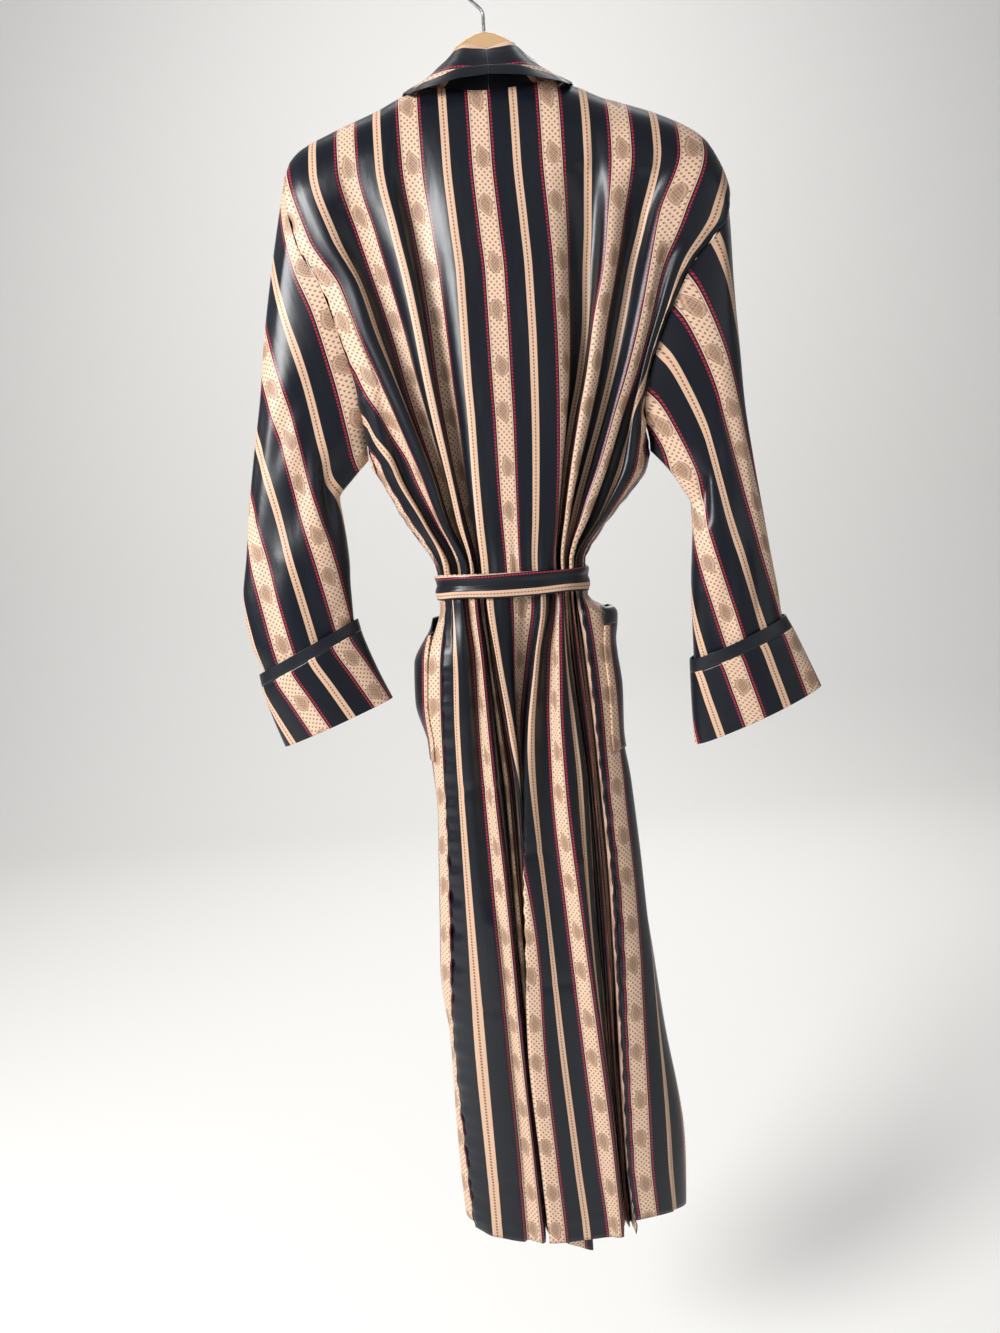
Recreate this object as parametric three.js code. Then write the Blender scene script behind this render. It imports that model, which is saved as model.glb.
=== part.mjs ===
import * as THREE from 'three';

// A long satin dressing robe with a shawl collar, hung by its hanger and seen
// here in one frame: millimetres, +Z up, the back of the robe facing -Y, the
// wearer's left at -X, and the origin at the inside top of the hanger's hook.
// Every cloth piece is a thin wall through level sections. A section runs from
// one fold line to the next, and each fold is as deep as its cloth asks.

// Driving dimensions
const CLOTH = 1.0;
const SEAM = 0.6;
const SEAM_EASE = 0.8;
const HEM_Z = -1393;
const FRONT_HEM_DROP = 40;
const CORNER_DROP = 44;
const STRIP_RISE = 20;
const BELT_TOP = -608;
const BELT_LOW = -634;
const BELT_THICK = 2.4;
const CUFF_GAP = 1.6;
const BAND_WIDTH = 13;
const SHOULDER_ROLL = 60;
const BACK_ROOM = 30;
const FRONT_ROOM = 20;
const WRAP_DROP = 12;
const FRONT_CLOTH = 325;
const NECK_HALF = 75;
const NECK_DEPTH = 30;
const NECK_DIP = 15;
const HANGER_THICK = 12;
const WIRE = 3.5;
const HOOK_INNER = 18;
const HOOK_RISE = 22;

// Girth of the body by level: the extents across, the depth behind and in
// front, and the depth at which each panel ends at its side.
const GIRTH = [
  { z: -100, left: -221, right: 252, back: -44, front: 34, edgeBack: -30, edgeFront: 26 },
  { z: -185, left: -220, right: 252, back: -46, front: 36, edgeBack: -30, edgeFront: 26 },
  { z: -250, left: -211, right: 242, back: -46, front: 38, edgeBack: -31, edgeFront: 27 },
  { z: -300, left: -188, right: 200, back: -46, front: 40, edgeBack: -30, edgeFront: 27 },
  { z: -350, left: -174, right: 174, back: -46, front: 42, edgeBack: -26, edgeFront: 25 },
  { z: -400, left: -162, right: 155, back: -46, front: 43, edgeBack: -20, edgeFront: 20 },
  { z: -440, left: -158, right: 147, back: -46, front: 44, edgeBack: -12, edgeFront: 12 },
  { z: -480, left: -156, right: 152, back: -46, front: 45, edgeBack: 0, edgeFront: 0 },
  { z: -500, left: -145, right: 150, back: -46, front: 45, edgeBack: 1, edgeFront: 1 },
  { z: -549, left: -121, right: 111, back: -46, front: 46, edgeBack: 1, edgeFront: 1 },
  { z: -601, left: -92, right: 74, back: -45, front: 47, edgeBack: 1, edgeFront: 1 },
  { z: -639, left: -90, right: 74, back: -45, front: 47, edgeBack: 1, edgeFront: 1 },
  { z: -662, left: -96, right: 101, back: -46, front: 48, edgeBack: 1, edgeFront: 1 },
  { z: -704, left: -123, right: 103, back: -46, front: 48, edgeBack: 0, edgeFront: 0 },
  { z: -748, left: -125, right: 107, back: -46, front: 49, edgeBack: 0, edgeFront: 0 },
  { z: -795, left: -115, right: 106, back: -46, front: 49, edgeBack: 0, edgeFront: 0 },
  { z: -855, left: -113, right: 113, back: -46, front: 50, edgeBack: 0, edgeFront: 0 },
  { z: -930, left: -117, right: 119, back: -46, front: 50, edgeBack: 0, edgeFront: 0 },
  { z: -1010, left: -121, right: 124, back: -46, front: 50, edgeBack: 0, edgeFront: 0 },
  { z: -1075, left: -124, right: 131, back: -46, front: 50, edgeBack: 0, edgeFront: 0 },
  { z: -1155, left: -118, right: 139, back: -46, front: 50, edgeBack: 0, edgeFront: 0 },
  { z: -1310, left: -118, right: 155, back: -46, front: 50, edgeBack: 0, edgeFront: 0 },
  { z: -1480, left: -114, right: 149, back: -46, front: 50, edgeBack: 0, edgeFront: 0 },
];

// Shoulder line: how high the top fold over the hanger is, across.
const RIDGE = [
  { x: -222, z: -177 },
  { x: -212, z: -161 },
  { x: -200, z: -151 },
  { x: -168, z: -137 },
  { x: -122, z: -120 },
  { x: -75, z: -103 },
  { x: 75, z: -103 },
  { x: 122, z: -120 },
  { x: 168, z: -135 },
  { x: 202, z: -150 },
  { x: 224, z: -165 },
  { x: 238, z: -186 },
  { x: 245, z: -202 },
  { x: 252, z: -226 },
];

// Fold lines of the back above the belt. A row is one line of the cloth, at
// its distance from the centre, with how far it goes in (0 crest, 1 valley)
// and where it lies across at each level.
const UPPER_LEVELS = [-185, -250, -300, -350, -400, -450, -500, -550, -605];
const UPPER_FOLDS = [
  { cloth: -292, recess: 0, across: [-220, -211, -188, -174, -162, -157, -145, -121, -91] },
  { cloth: -262, recess: 0.1, across: [-213, -203, -177, -164, -149, -142, -129, -104, -82] },
  { cloth: -236, recess: 1, across: [-207, -195, -168, -154, -138, -127, -113, -92, -70] },
  { cloth: -195, recess: 0, across: [-199, -182, -157, -143, -126, -108, -90, -77, -58.5] },
  { cloth: -156, recess: 1, across: [-160, -145, -132, -119, -109, -97, -84, -73, -54.5] },
  { cloth: -105, recess: 0, across: [-113, -103, -94, -87, -81, -74, -66, -59, -50.5] },
  { cloth: -84, recess: 1, across: [-95, -88, -82, -78, -75, -70, -64, -55.5, -46.5] },
  { cloth: -34, recess: 0, across: [-46, -43, -40, -40, -40, -39, -39, -38, -36] },
  { cloth: 60, recess: 0, across: [47, 50, 52, 52, 51, 49, 46, 42, 37] },
  { cloth: 112, recess: 1, across: [99, 97, 93, 90, 82, 69.5, 58.5, 49.5, 41] },
  { cloth: 138, recess: 0, across: [123, 116, 109, 96, 86, 74, 63, 53.5, 45] },
  { cloth: 180, recess: 1, across: [166, 151, 136, 124, 111, 96, 79, 63, 49.5] },
  { cloth: 212, recess: 0, across: [196, 171, 159, 147, 132, 114, 96, 75, 55] },
  { cloth: 245, recess: 1, across: [219, 196, 172, 157, 142, 127, 110, 88, 60.5] },
  { cloth: 275, recess: 0.1, across: [236, 216, 185, 166, 149, 137, 129, 101, 67] },
  { cloth: 310, recess: 0, across: [252, 242, 200, 174, 155, 148, 150, 111, 73.5] },
];

// Fold lines of the back below the belt. The deep folds on both sides of the
// middle hide most of the cloth. Where a line drifts along the cloth or sinks
// on its way down, the second figure is for the hem.
const SKIRT_LEVELS = [-637, -700, -780, -850, -1000, -1150, -1300, -1400];
const SKIRT_FOLDS = [
  { cloth: -292, low: -292, recess: 0, deep: 0, across: [-84, -92, -97, -99, -104, -111, -107, -104] },
  { cloth: -246, low: -246, recess: 0, deep: 0, across: [-68, -67, -70, -71, -69, -66, -64, -63] },
  { cloth: -231, low: -231, recess: 1, deep: 1, across: [-61, -57, -58, -57, -54, -50, -46, -45] },
  { cloth: -206, low: -206, recess: 0, deep: 0, across: [-49, -46, -44, -42, -36, -32, -26, -23] },
  { cloth: -178, low: -178, recess: 1, deep: 1, across: [-46, -43, -39.5, -37, -32.5, -29, -23.5, -20] },
  { cloth: -146, low: -146, recess: 0.5, deep: 0.5, across: [-43, -39.5, -34, -30, -28, -25, -19.5, -16] },
  { cloth: -85, low: -100, recess: 1, deep: 1, across: [-40, -36, -29, -24, -21.5, -19, -14, -10.5] },
  { cloth: -38, low: -62, recess: 0, deep: 1, across: [-37, -32.5, -23, -17, -16.5, -14, -10, -7] },
  { cloth: 16, low: -30, recess: 1, deep: 1, across: [16, 6.5, -6, -12, -12.5, -9.5, -6, -3] },
  { cloth: 33, low: -9, recess: 0, deep: 0, across: [20.5, 9.5, -3, -11.5, -21.5, -27, -21, -17] },
  { cloth: 60, low: 60, recess: 0.8, deep: 0.3, across: [35, 25, 19, 18, 25, 34, 44, 51] },
  { cloth: 86, low: 86, recess: 0, deep: 0, across: [42, 39, 36, 37, 46, 57, 67, 70.5] },
  { cloth: 116, low: 116, recess: 0.25, deep: 0.4, across: [46.5, 47, 52, 56, 57, 62, 69.5, 73] },
  { cloth: 165, low: 165, recess: 1, deep: 1, across: [50, 52, 58, 63, 66, 68, 72, 76] },
  { cloth: 205, low: 205, recess: 0.5, deep: 0.5, across: [54, 57, 63, 66.5, 71, 72, 74.7, 79] },
  { cloth: 255, low: 255, recess: 1, deep: 1, across: [59, 63, 68, 70.5, 75.5, 76, 77.4, 82] },
  { cloth: 310, low: 310, recess: 0, deep: 0, across: [65, 71, 76, 78, 84, 82, 80.5, 86] },
];
const DRIFT_FROM = -760;
const DRIFT_TO = -1100;

// Cloth between the back's middle and its armhole or side seam by level, and
// how far the front's cloth reaches round the side before it turns forward.
const SIDES = [
  { z: -150, seamLeft: -210, seamRight: 262, roundLeft: 4, roundRight: 4 },
  { z: -250, seamLeft: -223, seamRight: 266, roundLeft: 4, roundRight: 4 },
  { z: -350, seamLeft: -229, seamRight: 266, roundLeft: 4, roundRight: 4 },
  { z: -400, seamLeft: -236, seamRight: 270, roundLeft: 4, roundRight: 4 },
  { z: -450, seamLeft: -268, seamRight: 294, roundLeft: 4, roundRight: 4 },
  { z: -490, seamLeft: -292, seamRight: 310, roundLeft: 5, roundRight: 5 },
  { z: -637, seamLeft: -292, seamRight: 310, roundLeft: 8, roundRight: 10 },
  { z: -662, seamLeft: -292, seamRight: 310, roundLeft: 14, roundRight: 32 },
  { z: -700, seamLeft: -292, seamRight: 310, roundLeft: 32, roundRight: 34 },
  { z: -850, seamLeft: -292, seamRight: 310, roundLeft: 22, roundRight: 40 },
  { z: -1000, seamLeft: -292, seamRight: 310, roundLeft: 24, roundRight: 48 },
  { z: -1150, seamLeft: -292, seamRight: 310, roundLeft: 16, roundRight: 66 },
  { z: -1300, seamLeft: -292, seamRight: 310, roundLeft: 18, roundRight: 88 },
  { z: -1480, seamLeft: -292, seamRight: 310, roundLeft: 18, roundRight: 80 },
];
const SQUEEZE_LEFT = -195;
const SQUEEZE_RIGHT = 212;

// Free edges of the fronts, across: they cross over at the chest and then run
// down inside and outside each other.
const OPENING = [
  { z: -103, left: -75, right: 75 },
  { z: -600, left: 54, right: -32 },
  { z: -650, left: 56, right: -30 },
  { z: -1100, left: 52, right: -26 },
  { z: -1480, left: 40, right: -24 },
];

// Fold lines of a front, as shares of its width.
const FRONT_FOLDS = [
  { share: 0, recess: 0 },
  { share: 0.12, recess: 0.2 },
  { share: 0.25, recess: 0 },
  { share: 0.34, recess: 1 },
  { share: 0.43, recess: 0 },
  { share: 0.51, recess: 1 },
  { share: 0.59, recess: 0 },
  { share: 0.69, recess: 0.25 },
  { share: 0.79, recess: 0 },
  { share: 0.9, recess: 0.2 },
  { share: 1, recess: 0 },
];

// Levels of the rows of points: shares of the way from the shoulder to the
// belt, then levels of the skirt.
const UPPER_ROWS = [0, 0.005, 0.022, 0.055, 0.11, 0.19, 0.3, 0.42, 0.54, 0.66, 0.78, 0.89, 1];
const WAIST_Z = -605;
const SKIRT_ROWS = [-637, -655, -673, -700, -740, -780, -815, -865, -930, -1005, -1090, -1190, -1300];
const FRONT_COLUMNS = [
  0, 0.0277, 0.075, 0.12, 0.185, 0.25, 0.295, 0.34, 0.385, 0.43, 0.4615, 0.51, 0.55, 0.59, 0.69, 0.79, 0.9, 1,
];
const NEAR_COLUMNS = 7;
const WIDE_COLUMNS = 25;

// Sections of a sleeve: the outer and inner silhouette points and the half
// depth. The first row of points is the armhole itself.
const SLEEVE_LEFT = [
  { ox: -235, oz: -226, ix: -168, iz: -487, half: 31 },
  { ox: -248, oz: -284, ix: -182, iz: -501, half: 31 },
  { ox: -259, oz: -342, ix: -193, iz: -516, half: 31 },
  { ox: -269, oz: -402, ix: -191, iz: -538, half: 30 },
  { ox: -282, oz: -464, ix: -189, iz: -562, half: 29 },
  { ox: -293, oz: -521, ix: -188, iz: -587, half: 28 },
  { ox: -301, oz: -572, ix: -189, iz: -611, half: 27 },
  { ox: -309, oz: -622, ix: -189, iz: -633, half: 26 },
  { ox: -306, oz: -665, ix: -189, iz: -654, half: 25 },
  { ox: -292, oz: -708, ix: -184, iz: -683, half: 24 },
  { ox: -276, oz: -781, ix: -157.5, iz: -737.5, half: 25 },
];
const SLEEVE_RIGHT = [
  { ox: 254, oz: -276, ix: 164, iz: -497, half: 31 },
  { ox: 253, oz: -326, ix: 177, iz: -512, half: 31 },
  { ox: 256, oz: -382, ix: 187, iz: -529, half: 31 },
  { ox: 259, oz: -438, ix: 197, iz: -550, half: 30 },
  { ox: 266, oz: -496, ix: 197, iz: -575, half: 29 },
  { ox: 274, oz: -550, ix: 195, iz: -600, half: 28 },
  { ox: 282, oz: -603, ix: 193, iz: -626, half: 27 },
  { ox: 289, oz: -648, ix: 192, iz: -657, half: 26 },
  { ox: 293, oz: -679, ix: 192, iz: -694, half: 25 },
  { ox: 303, oz: -711, ix: 192, iz: -741, half: 24 },
  { ox: 329.5, oz: -758, ix: 191.5, iz: -814.5, half: 25 },
];
const ARMHOLE_GAP = { left: 1.1, right: 1.8 };
const UNDERARM = { left: -476, right: -486 };
const SHOULDER_TIP = { left: -177, right: -226 };

// Long folds of the sleeves: turns are shares of the way round from the outer
// silhouette over the back, and runs are shares of the sleeve's length.
const SLEEVE_FOLDS = [
  { turnTop: 0.36, turnLow: 0.22, from: 0.02, to: 0.62, depth: 9, width: 0.06 },
  { turnTop: 0.42, turnLow: 0.38, from: 0.1, to: 0.5, depth: 10, width: 0.045 },
  { turnTop: 0.2, turnLow: 0.12, from: 0.25, to: 0.85, depth: 5, width: 0.06 },
  { turnTop: 0.62, turnLow: 0.7, from: 0.05, to: 0.6, depth: 9, width: 0.06 },
  { turnTop: 0.8, turnLow: 0.86, from: 0.3, to: 0.85, depth: 6, width: 0.06 },
];

// Turned-back cuffs: top and bottom sections, outer and inner points.
const CUFF_LEFT = [
  { ox: -298, oz: -704, ix: -186, iz: -650, half: 27 },
  { ox: -296, oz: -721, ix: -183, iz: -666, half: 27 },
  { ox: -287, oz: -754, ix: -170, iz: -704, half: 26 },
  { ox: -276, oz: -788, ix: -154, iz: -742, half: 25 },
];
const CUFF_RIGHT = [
  { ox: 295, oz: -678, ix: 189, iz: -721, half: 27 },
  { ox: 304, oz: -695, ix: 189, iz: -739, half: 27 },
  { ox: 318, oz: -727, ix: 189, iz: -777, half: 26 },
  { ox: 333, oz: -762, ix: 190, iz: -819, half: 25 },
];

// Shawl collar round the neck, one half: seam, roll line and outer edge.
const COLLAR_NECK = [
  { nx: 0.3, rx: 0.3, ry: -39, rz: -80, ex: 0.3, ey: -60, ez: -111 },
  { nx: 24, rx: 22, ry: -38, rz: -74.5, ex: 26, ey: -60, ez: -112.5 },
  { nx: 50, rx: 44, ry: -29, rz: -86, ex: 58, ey: -52, ez: -116 },
  { nx: 67, rx: 57, ry: -15, rz: -90, ex: 80, ey: -36, ez: -115 },
  { nx: 72, rx: 61.5, ry: -7, rz: -91, ex: 87.5, ey: -20, ez: -107.5 },
  { nx: 74.4, rx: 64, ry: 1, rz: -92, ex: 90, ey: -3, ez: -103 },
];
const COLLAR_TURN = { z: -108, rx: 66, ry: 15, rz: -99, ex: 94, ey: 15, ez: -111 };

// Its way down the front edge: level and width.
const COLLAR_FRONT = [
  { z: -131, width: 42 },
  { z: -158, width: 57 },
  { z: -198, width: 66 },
  { z: -254, width: 73 },
  { z: -314, width: 75 },
  { z: -374, width: 74 },
  { z: -434, width: 69 },
  { z: -495, width: 55 },
  { z: -550, width: 34 },
  { z: -588, width: 17 },
];
const EDGE_SLOPE = 0.26;
const COLLAR_LIFT = 3;

// Patch pockets, by cloth from the side seam and by level.
const POCKET_FROM = 9;
const POCKET_TO = 150;
const POCKET_TOP = -655;
const POCKET_LOW = -815;
const POCKET_BAND = 18;
const POCKET_LIFT = 1.7;
const POCKET_GAPE = 5;
const POCKET_CALM = 0.75;

// Belt: the loop lies round the waist, the knot in front of it, and a row for
// each hanging end gives its top and bottom.
const BELT_AROUND = 36;
const BELT_OUT = 2.3;
const KNOT = { x: 0, y: 59.9, z: -622, halfWide: 21, halfDeep: 10, halfHigh: 22, lobe: 0.12 };
const BELT_WIDTH = 38;
const BELT_ENDS = [
  { name: 'left', topX: -13, lowX: -27, topZ: -645, lowZ: -1052, y: 58, twist: 0.35 },
  { name: 'right', topX: 12, lowX: 21, topZ: -645, lowZ: -1008, y: 61, twist: -0.3 },
];

// Wooden hanger, one half: top line and underside.
const HANGER = [
  { x: 0, top: -45, low: -97 },
  { x: 28, top: -56, low: -99 },
  { x: 46, top: -79, low: -107 },
  { x: 64, top: -103, low: -121 },
  { x: 78, top: -110, low: -130 },
  { x: 96, top: -114.5, low: -137 },
  { x: 122, top: -122.8, low: -147 },
  { x: 168, top: -139.8, low: -161 },
  { x: 200, top: -154, low: -171 },
];
const HANGER_END = 7;
const HOOK_FOOT = -44.6;
const HOOK_STEM = -24;

const STRIPE = 0x6d5f55;
const BLACK = 0x0d1015;

// Interpolation in a table: a smooth curve through the rows that never
// overshoots, for any column, by any rising or falling key.
function tableValue(rows, key, column, at) {
  const keys = rows.map((row) => row[key]);
  const values = rows.map((row) => row[column]);
  return smoothValue(keys, values, at);
}

function smoothValue(keys, values, at) {
  const falling = keys[0] > keys[keys.length - 1];
  const place = falling ? -at : at;
  const marks = falling ? keys.map((key) => -key) : keys;
  const last = marks.length - 1;
  if (place <= marks[0]) return values[0];
  if (place >= marks[last]) return values[last];
  let k = 0;
  while (place > marks[k + 1]) k += 1;
  const step = marks[k + 1] - marks[k];
  const slope = (i) => (values[i + 1] - values[i]) / (marks[i + 1] - marks[i]);
  const tangent = (i) => {
    if (i === 0 || i === last) return 0;
    const before = slope(i - 1);
    const after = slope(i);
    return before * after <= 0 ? 0 : (2 * before * after) / (before + after);
  };
  const t = (place - marks[k]) / step;
  const t2 = t * t;
  const t3 = t2 * t;
  return (
    values[k] * (2 * t3 - 3 * t2 + 1) +
    values[k + 1] * (3 * t2 - 2 * t3) +
    tangent(k) * step * (t3 - 2 * t2 + t) +
    tangent(k + 1) * step * (t3 - t2)
  );
}

const mix = (a, b, t) => a + (b - a) * t;
const clamp01 = (t) => Math.min(1, Math.max(0, t));
const ease = (t) => clamp01(t) ** 2 * (3 - 2 * clamp01(t));

// Fold profile. Cloth that runs from a crest to a valley leans more and more,
// up to nearly upright, and lies flat again. The lean grows until the cloth
// covers only the given share of its own width.
const FOLD_STEPS = 24;
const STEEPEST = 1.5;
const foldShapes = new Map();

function foldShape(share) {
  const mark = Math.round(Math.min(1, share) * 100);
  if (foldShapes.has(mark)) return foldShapes.get(mark);
  let low = 0;
  let high = 3;
  let shape = null;
  for (let pass = 0; pass < 24; pass += 1) {
    const lean = (low + high) / 2;
    shape = leaningCurve(Math.min(lean, STEEPEST), 1 + 12 * Math.max(0, lean - STEEPEST));
    if (shape.covered > mark / 100) low = lean;
    else high = lean;
  }
  foldShapes.set(mark, shape);
  return shape;
}

function leaningCurve(steepest, spread) {
  const run = [0];
  const rise = [0];
  for (let step = 0; step < FOLD_STEPS; step += 1) {
    const middle = (step + 0.5) / FOLD_STEPS;
    const angle = steepest * Math.min(1, spread * Math.sin(Math.PI * middle));
    run.push(run[step] + Math.cos(angle) / FOLD_STEPS);
    rise.push(rise[step] + Math.sin(angle) / FOLD_STEPS);
  }
  const covered = run[FOLD_STEPS];
  const height = rise[FOLD_STEPS];
  return {
    covered,
    height,
    run: run.map((value) => value / covered),
    rise: rise.map((value) => value / Math.max(height, 1e-6)),
  };
}

function curveAt(values, t) {
  const place = clamp01(t) * FOLD_STEPS;
  const step = Math.min(FOLD_STEPS - 1, Math.floor(place));
  return mix(values[step], values[step + 1], place - step);
}

// A section is a list of fold lines, each with its place in the cloth, its
// place along the section and how far it goes in. How deep a valley gets is
// worked out from the cloth on both sides of it, within the room there is.
function foldDepths(lines, room) {
  const heights = lines.slice(1).map((line, i) => {
    const width = line.cloth - lines[i].cloth;
    return foldShape(Math.abs(line.along - lines[i].along) / width).height * width;
  });
  return lines.map((line, i) => {
    const before = heights[Math.max(0, i - 1)];
    const after = heights[Math.min(heights.length - 1, i)];
    return line.recess * Math.min(room, (before + after) / 2);
  });
}

function sectionPlace(lines, depths, cloth) {
  let k = 0;
  while (k < lines.length - 2 && cloth > lines[k + 1].cloth) k += 1;
  const width = lines[k + 1].cloth - lines[k].cloth;
  const t = (cloth - lines[k].cloth) / width;
  const shape = foldShape(Math.abs(lines[k + 1].along - lines[k].along) / width);
  return {
    along: mix(lines[k].along, lines[k + 1].along, curveAt(shape.run, t)),
    depth: mix(depths[k], depths[k + 1], curveAt(shape.rise, t)),
  };
}

// Girth curve of the body at a level, by angle: 0 at the right side, rising
// over the front to a half turn at the left side, and below 0 behind.
function girthAt(z) {
  const row = {};
  for (const column of ['left', 'right', 'back', 'front', 'edgeBack', 'edgeFront']) {
    row[column] = tableValue(GIRTH, 'z', column, z);
  }
  row.middle = (row.left + row.right) / 2;
  row.half = (row.right - row.left) / 2;
  return row;
}

function ridgeZ(x) {
  return tableValue(RIDGE, 'x', 'z', x);
}

function shoulderRoll(x, z) {
  const fall = clamp01((ridgeZ(x) - z) / SHOULDER_ROLL);
  return Math.sqrt(1 - (1 - fall) ** 2);
}

function settled(x, z) {
  return ease((ridgeZ(x) - z - 15) / 110);
}

function neckDepth(x) {
  return NECK_DEPTH * Math.sqrt(Math.max(0, 1 - (x / NECK_HALF) ** 2));
}

function girthY(girth, x, facing) {
  const reach = Math.min(1, Math.abs(x - girth.middle) / girth.half);
  const swell = Math.sqrt(Math.max(0, 1 - reach ** 3));
  if (facing < 0) return mix(girth.edgeBack, girth.back, swell);
  return mix(girth.edgeFront, girth.front, swell);
}

function angleAt(girth, x, facing) {
  const reach = Math.max(-1, Math.min(1, (x - girth.middle) / girth.half));
  const angle = Math.acos(Math.sign(reach) * Math.abs(reach) ** 1.5);
  return facing * angle;
}

function girthPoint(girth, z, angle) {
  const c = Math.cos(angle);
  const x = girth.middle + girth.half * Math.sign(c) * Math.abs(c) ** (2 / 3);
  const behind = angle < 0 || angle > Math.PI;
  const y = girthY(girth, x, behind ? -1 : 1);
  return { x, y: y * shoulderRoll(x, z) };
}

// Back panel
function squeeze(cloth, z) {
  if (cloth < SQUEEZE_LEFT) {
    const seam = tableValue(SIDES, 'z', 'seamLeft', z);
    return mix(SQUEEZE_LEFT, seam, (cloth - SQUEEZE_LEFT) / (-292 - SQUEEZE_LEFT));
  }
  if (cloth > SQUEEZE_RIGHT) {
    const seam = tableValue(SIDES, 'z', 'seamRight', z);
    return mix(SQUEEZE_RIGHT, seam, (cloth - SQUEEZE_RIGHT) / (310 - SQUEEZE_RIGHT));
  }
  return cloth;
}

function backLines(folds, levels, z) {
  const sunk = ease((z - DRIFT_FROM) / (DRIFT_TO - DRIFT_FROM));
  return folds.map((fold) => {
    const low = fold.low === undefined ? fold.cloth : fold.low;
    const deep = fold.deep === undefined ? fold.recess : fold.deep;
    return {
      cloth: squeeze(mix(fold.cloth, low, sunk), z),
      along: smoothValue(levels, fold.across, z),
      recess: mix(fold.recess, deep, sunk),
    };
  });
}

function backAt(folds, levels, cloth, z) {
  const lines = backLines(folds, levels, z);
  const depths = foldDepths(lines, BACK_ROOM);
  const place = sectionPlace(lines, depths, squeeze(cloth, z));
  const girth = girthAt(z);
  const reach = Math.min(1, Math.abs(place.along - girth.middle) / girth.half);
  place.depth *= mix(1, 0.4, reach ** 3) * settled(place.along, z);
  const floor = neckDepth(place.along);
  const out = girthY(girth, place.along, -1) + place.depth;
  const y = -floor + (out + floor) * shoulderRoll(place.along, z);
  return new THREE.Vector3(place.along, y, z);
}

function backPoint(cloth, z) {
  const under = ease((z - BELT_TOP) / (BELT_LOW - BELT_TOP));
  if (under <= 0) return backAt(UPPER_FOLDS, UPPER_LEVELS, cloth, z);
  if (under >= 1) return backAt(SKIRT_FOLDS, SKIRT_LEVELS, cloth, z);
  const upper = backAt(UPPER_FOLDS, UPPER_LEVELS, cloth, z);
  return upper.lerp(backAt(SKIRT_FOLDS, SKIRT_LEVELS, cloth, z), under);
}

function neckZ(x) {
  if (Math.abs(x) >= NECK_HALF) return ridgeZ(x);
  return ridgeZ(x) - NECK_DIP * Math.cos((Math.PI * x) / (2 * NECK_HALF));
}

function topOf(pointAt, edgeZ) {
  let z = -150;
  for (let pass = 0; pass < 8; pass += 1) z = edgeZ(pointAt(z).x);
  return z;
}

function rowLevels(top, hem) {
  const upper = UPPER_ROWS.map((share) => mix(top, WAIST_Z, share));
  return [...upper, ...SKIRT_ROWS, hem];
}

function insetEdges(grid, { first = false, last = false, top = false, low = false, by = SEAM }) {
  const end = grid.length - 1;
  const foot = grid[0].length - 1;
  const inset = (point, towards) => {
    const step = towards.clone().sub(point);
    point.addScaledVector(step.normalize(), by);
  };
  if (first) grid[0].forEach((point, j) => inset(point, grid[1][j]));
  if (last) grid[end].forEach((point, j) => inset(point, grid[end - 1][j]));
  if (top) grid.forEach((column) => inset(column[0], column[1]));
  if (low) grid.forEach((column) => inset(column[foot], column[foot - 1]));
  return grid;
}

function backHem(x) {
  return HEM_Z + 0.0007 * (x - 25) ** 2;
}

// Its columns of points run down the fold lines of both tables, with one more
// where two of them are far apart.
function backColumns() {
  const marks = [...UPPER_FOLDS, ...SKIRT_FOLDS].map((fold) => fold.cloth).sort((a, b) => a - b);
  const columns = [];
  for (const mark of marks) {
    const before = columns[columns.length - 1];
    if (mark - before < NEAR_COLUMNS) continue;
    if (mark - before > WIDE_COLUMNS) columns.push((mark + before) / 2);
    columns.push(mark);
  }
  return columns;
}

function backGrid() {
  const grid = backColumns().map((cloth) => {
    const top = topOf((z) => backPoint(cloth, z), neckZ);
    const hem = backHem(backPoint(cloth, HEM_Z).x);
    return rowLevels(top, hem).map((z) => backPoint(cloth, z));
  });
  insetEdges(grid, { last: true, by: SEAM_EASE });
  return insetEdges(grid, { first: true, last: true, top: true });
}

// Front panels: from the side seam round the side and over to the free edge.
function sideSeam(side, z) {
  const girth = girthAt(z);
  if (z > UNDERARM[side]) return side === 'left' ? Math.PI : 0;
  const point = backPoint(side === 'left' ? -292 : 310, z);
  const angle = angleAt(girth, point.x, -1);
  return side === 'left' ? 2 * Math.PI + angle : angle;
}

function frontAngle(side, share, z) {
  const girth = girthAt(z);
  const turn = side === 'left' ? Math.PI : 0;
  const column = side === 'left' ? 'roundLeft' : 'roundRight';
  const around = tableValue(SIDES, 'z', column, z) / FRONT_CLOTH;
  const edge = angleAt(girth, tableValue(OPENING, 'z', side, z), 1);
  if (share < around) return mix(sideSeam(side, z), turn, share / around);
  return mix(turn, edge, (share - around) / (1 - around));
}

function wrapDrop(side, x, y, z) {
  if (side === 'left') return 0;
  return WRAP_DROP * ease((z + 330) / -90) * ease((112 - x) / 40) * ease(y / 25);
}

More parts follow.
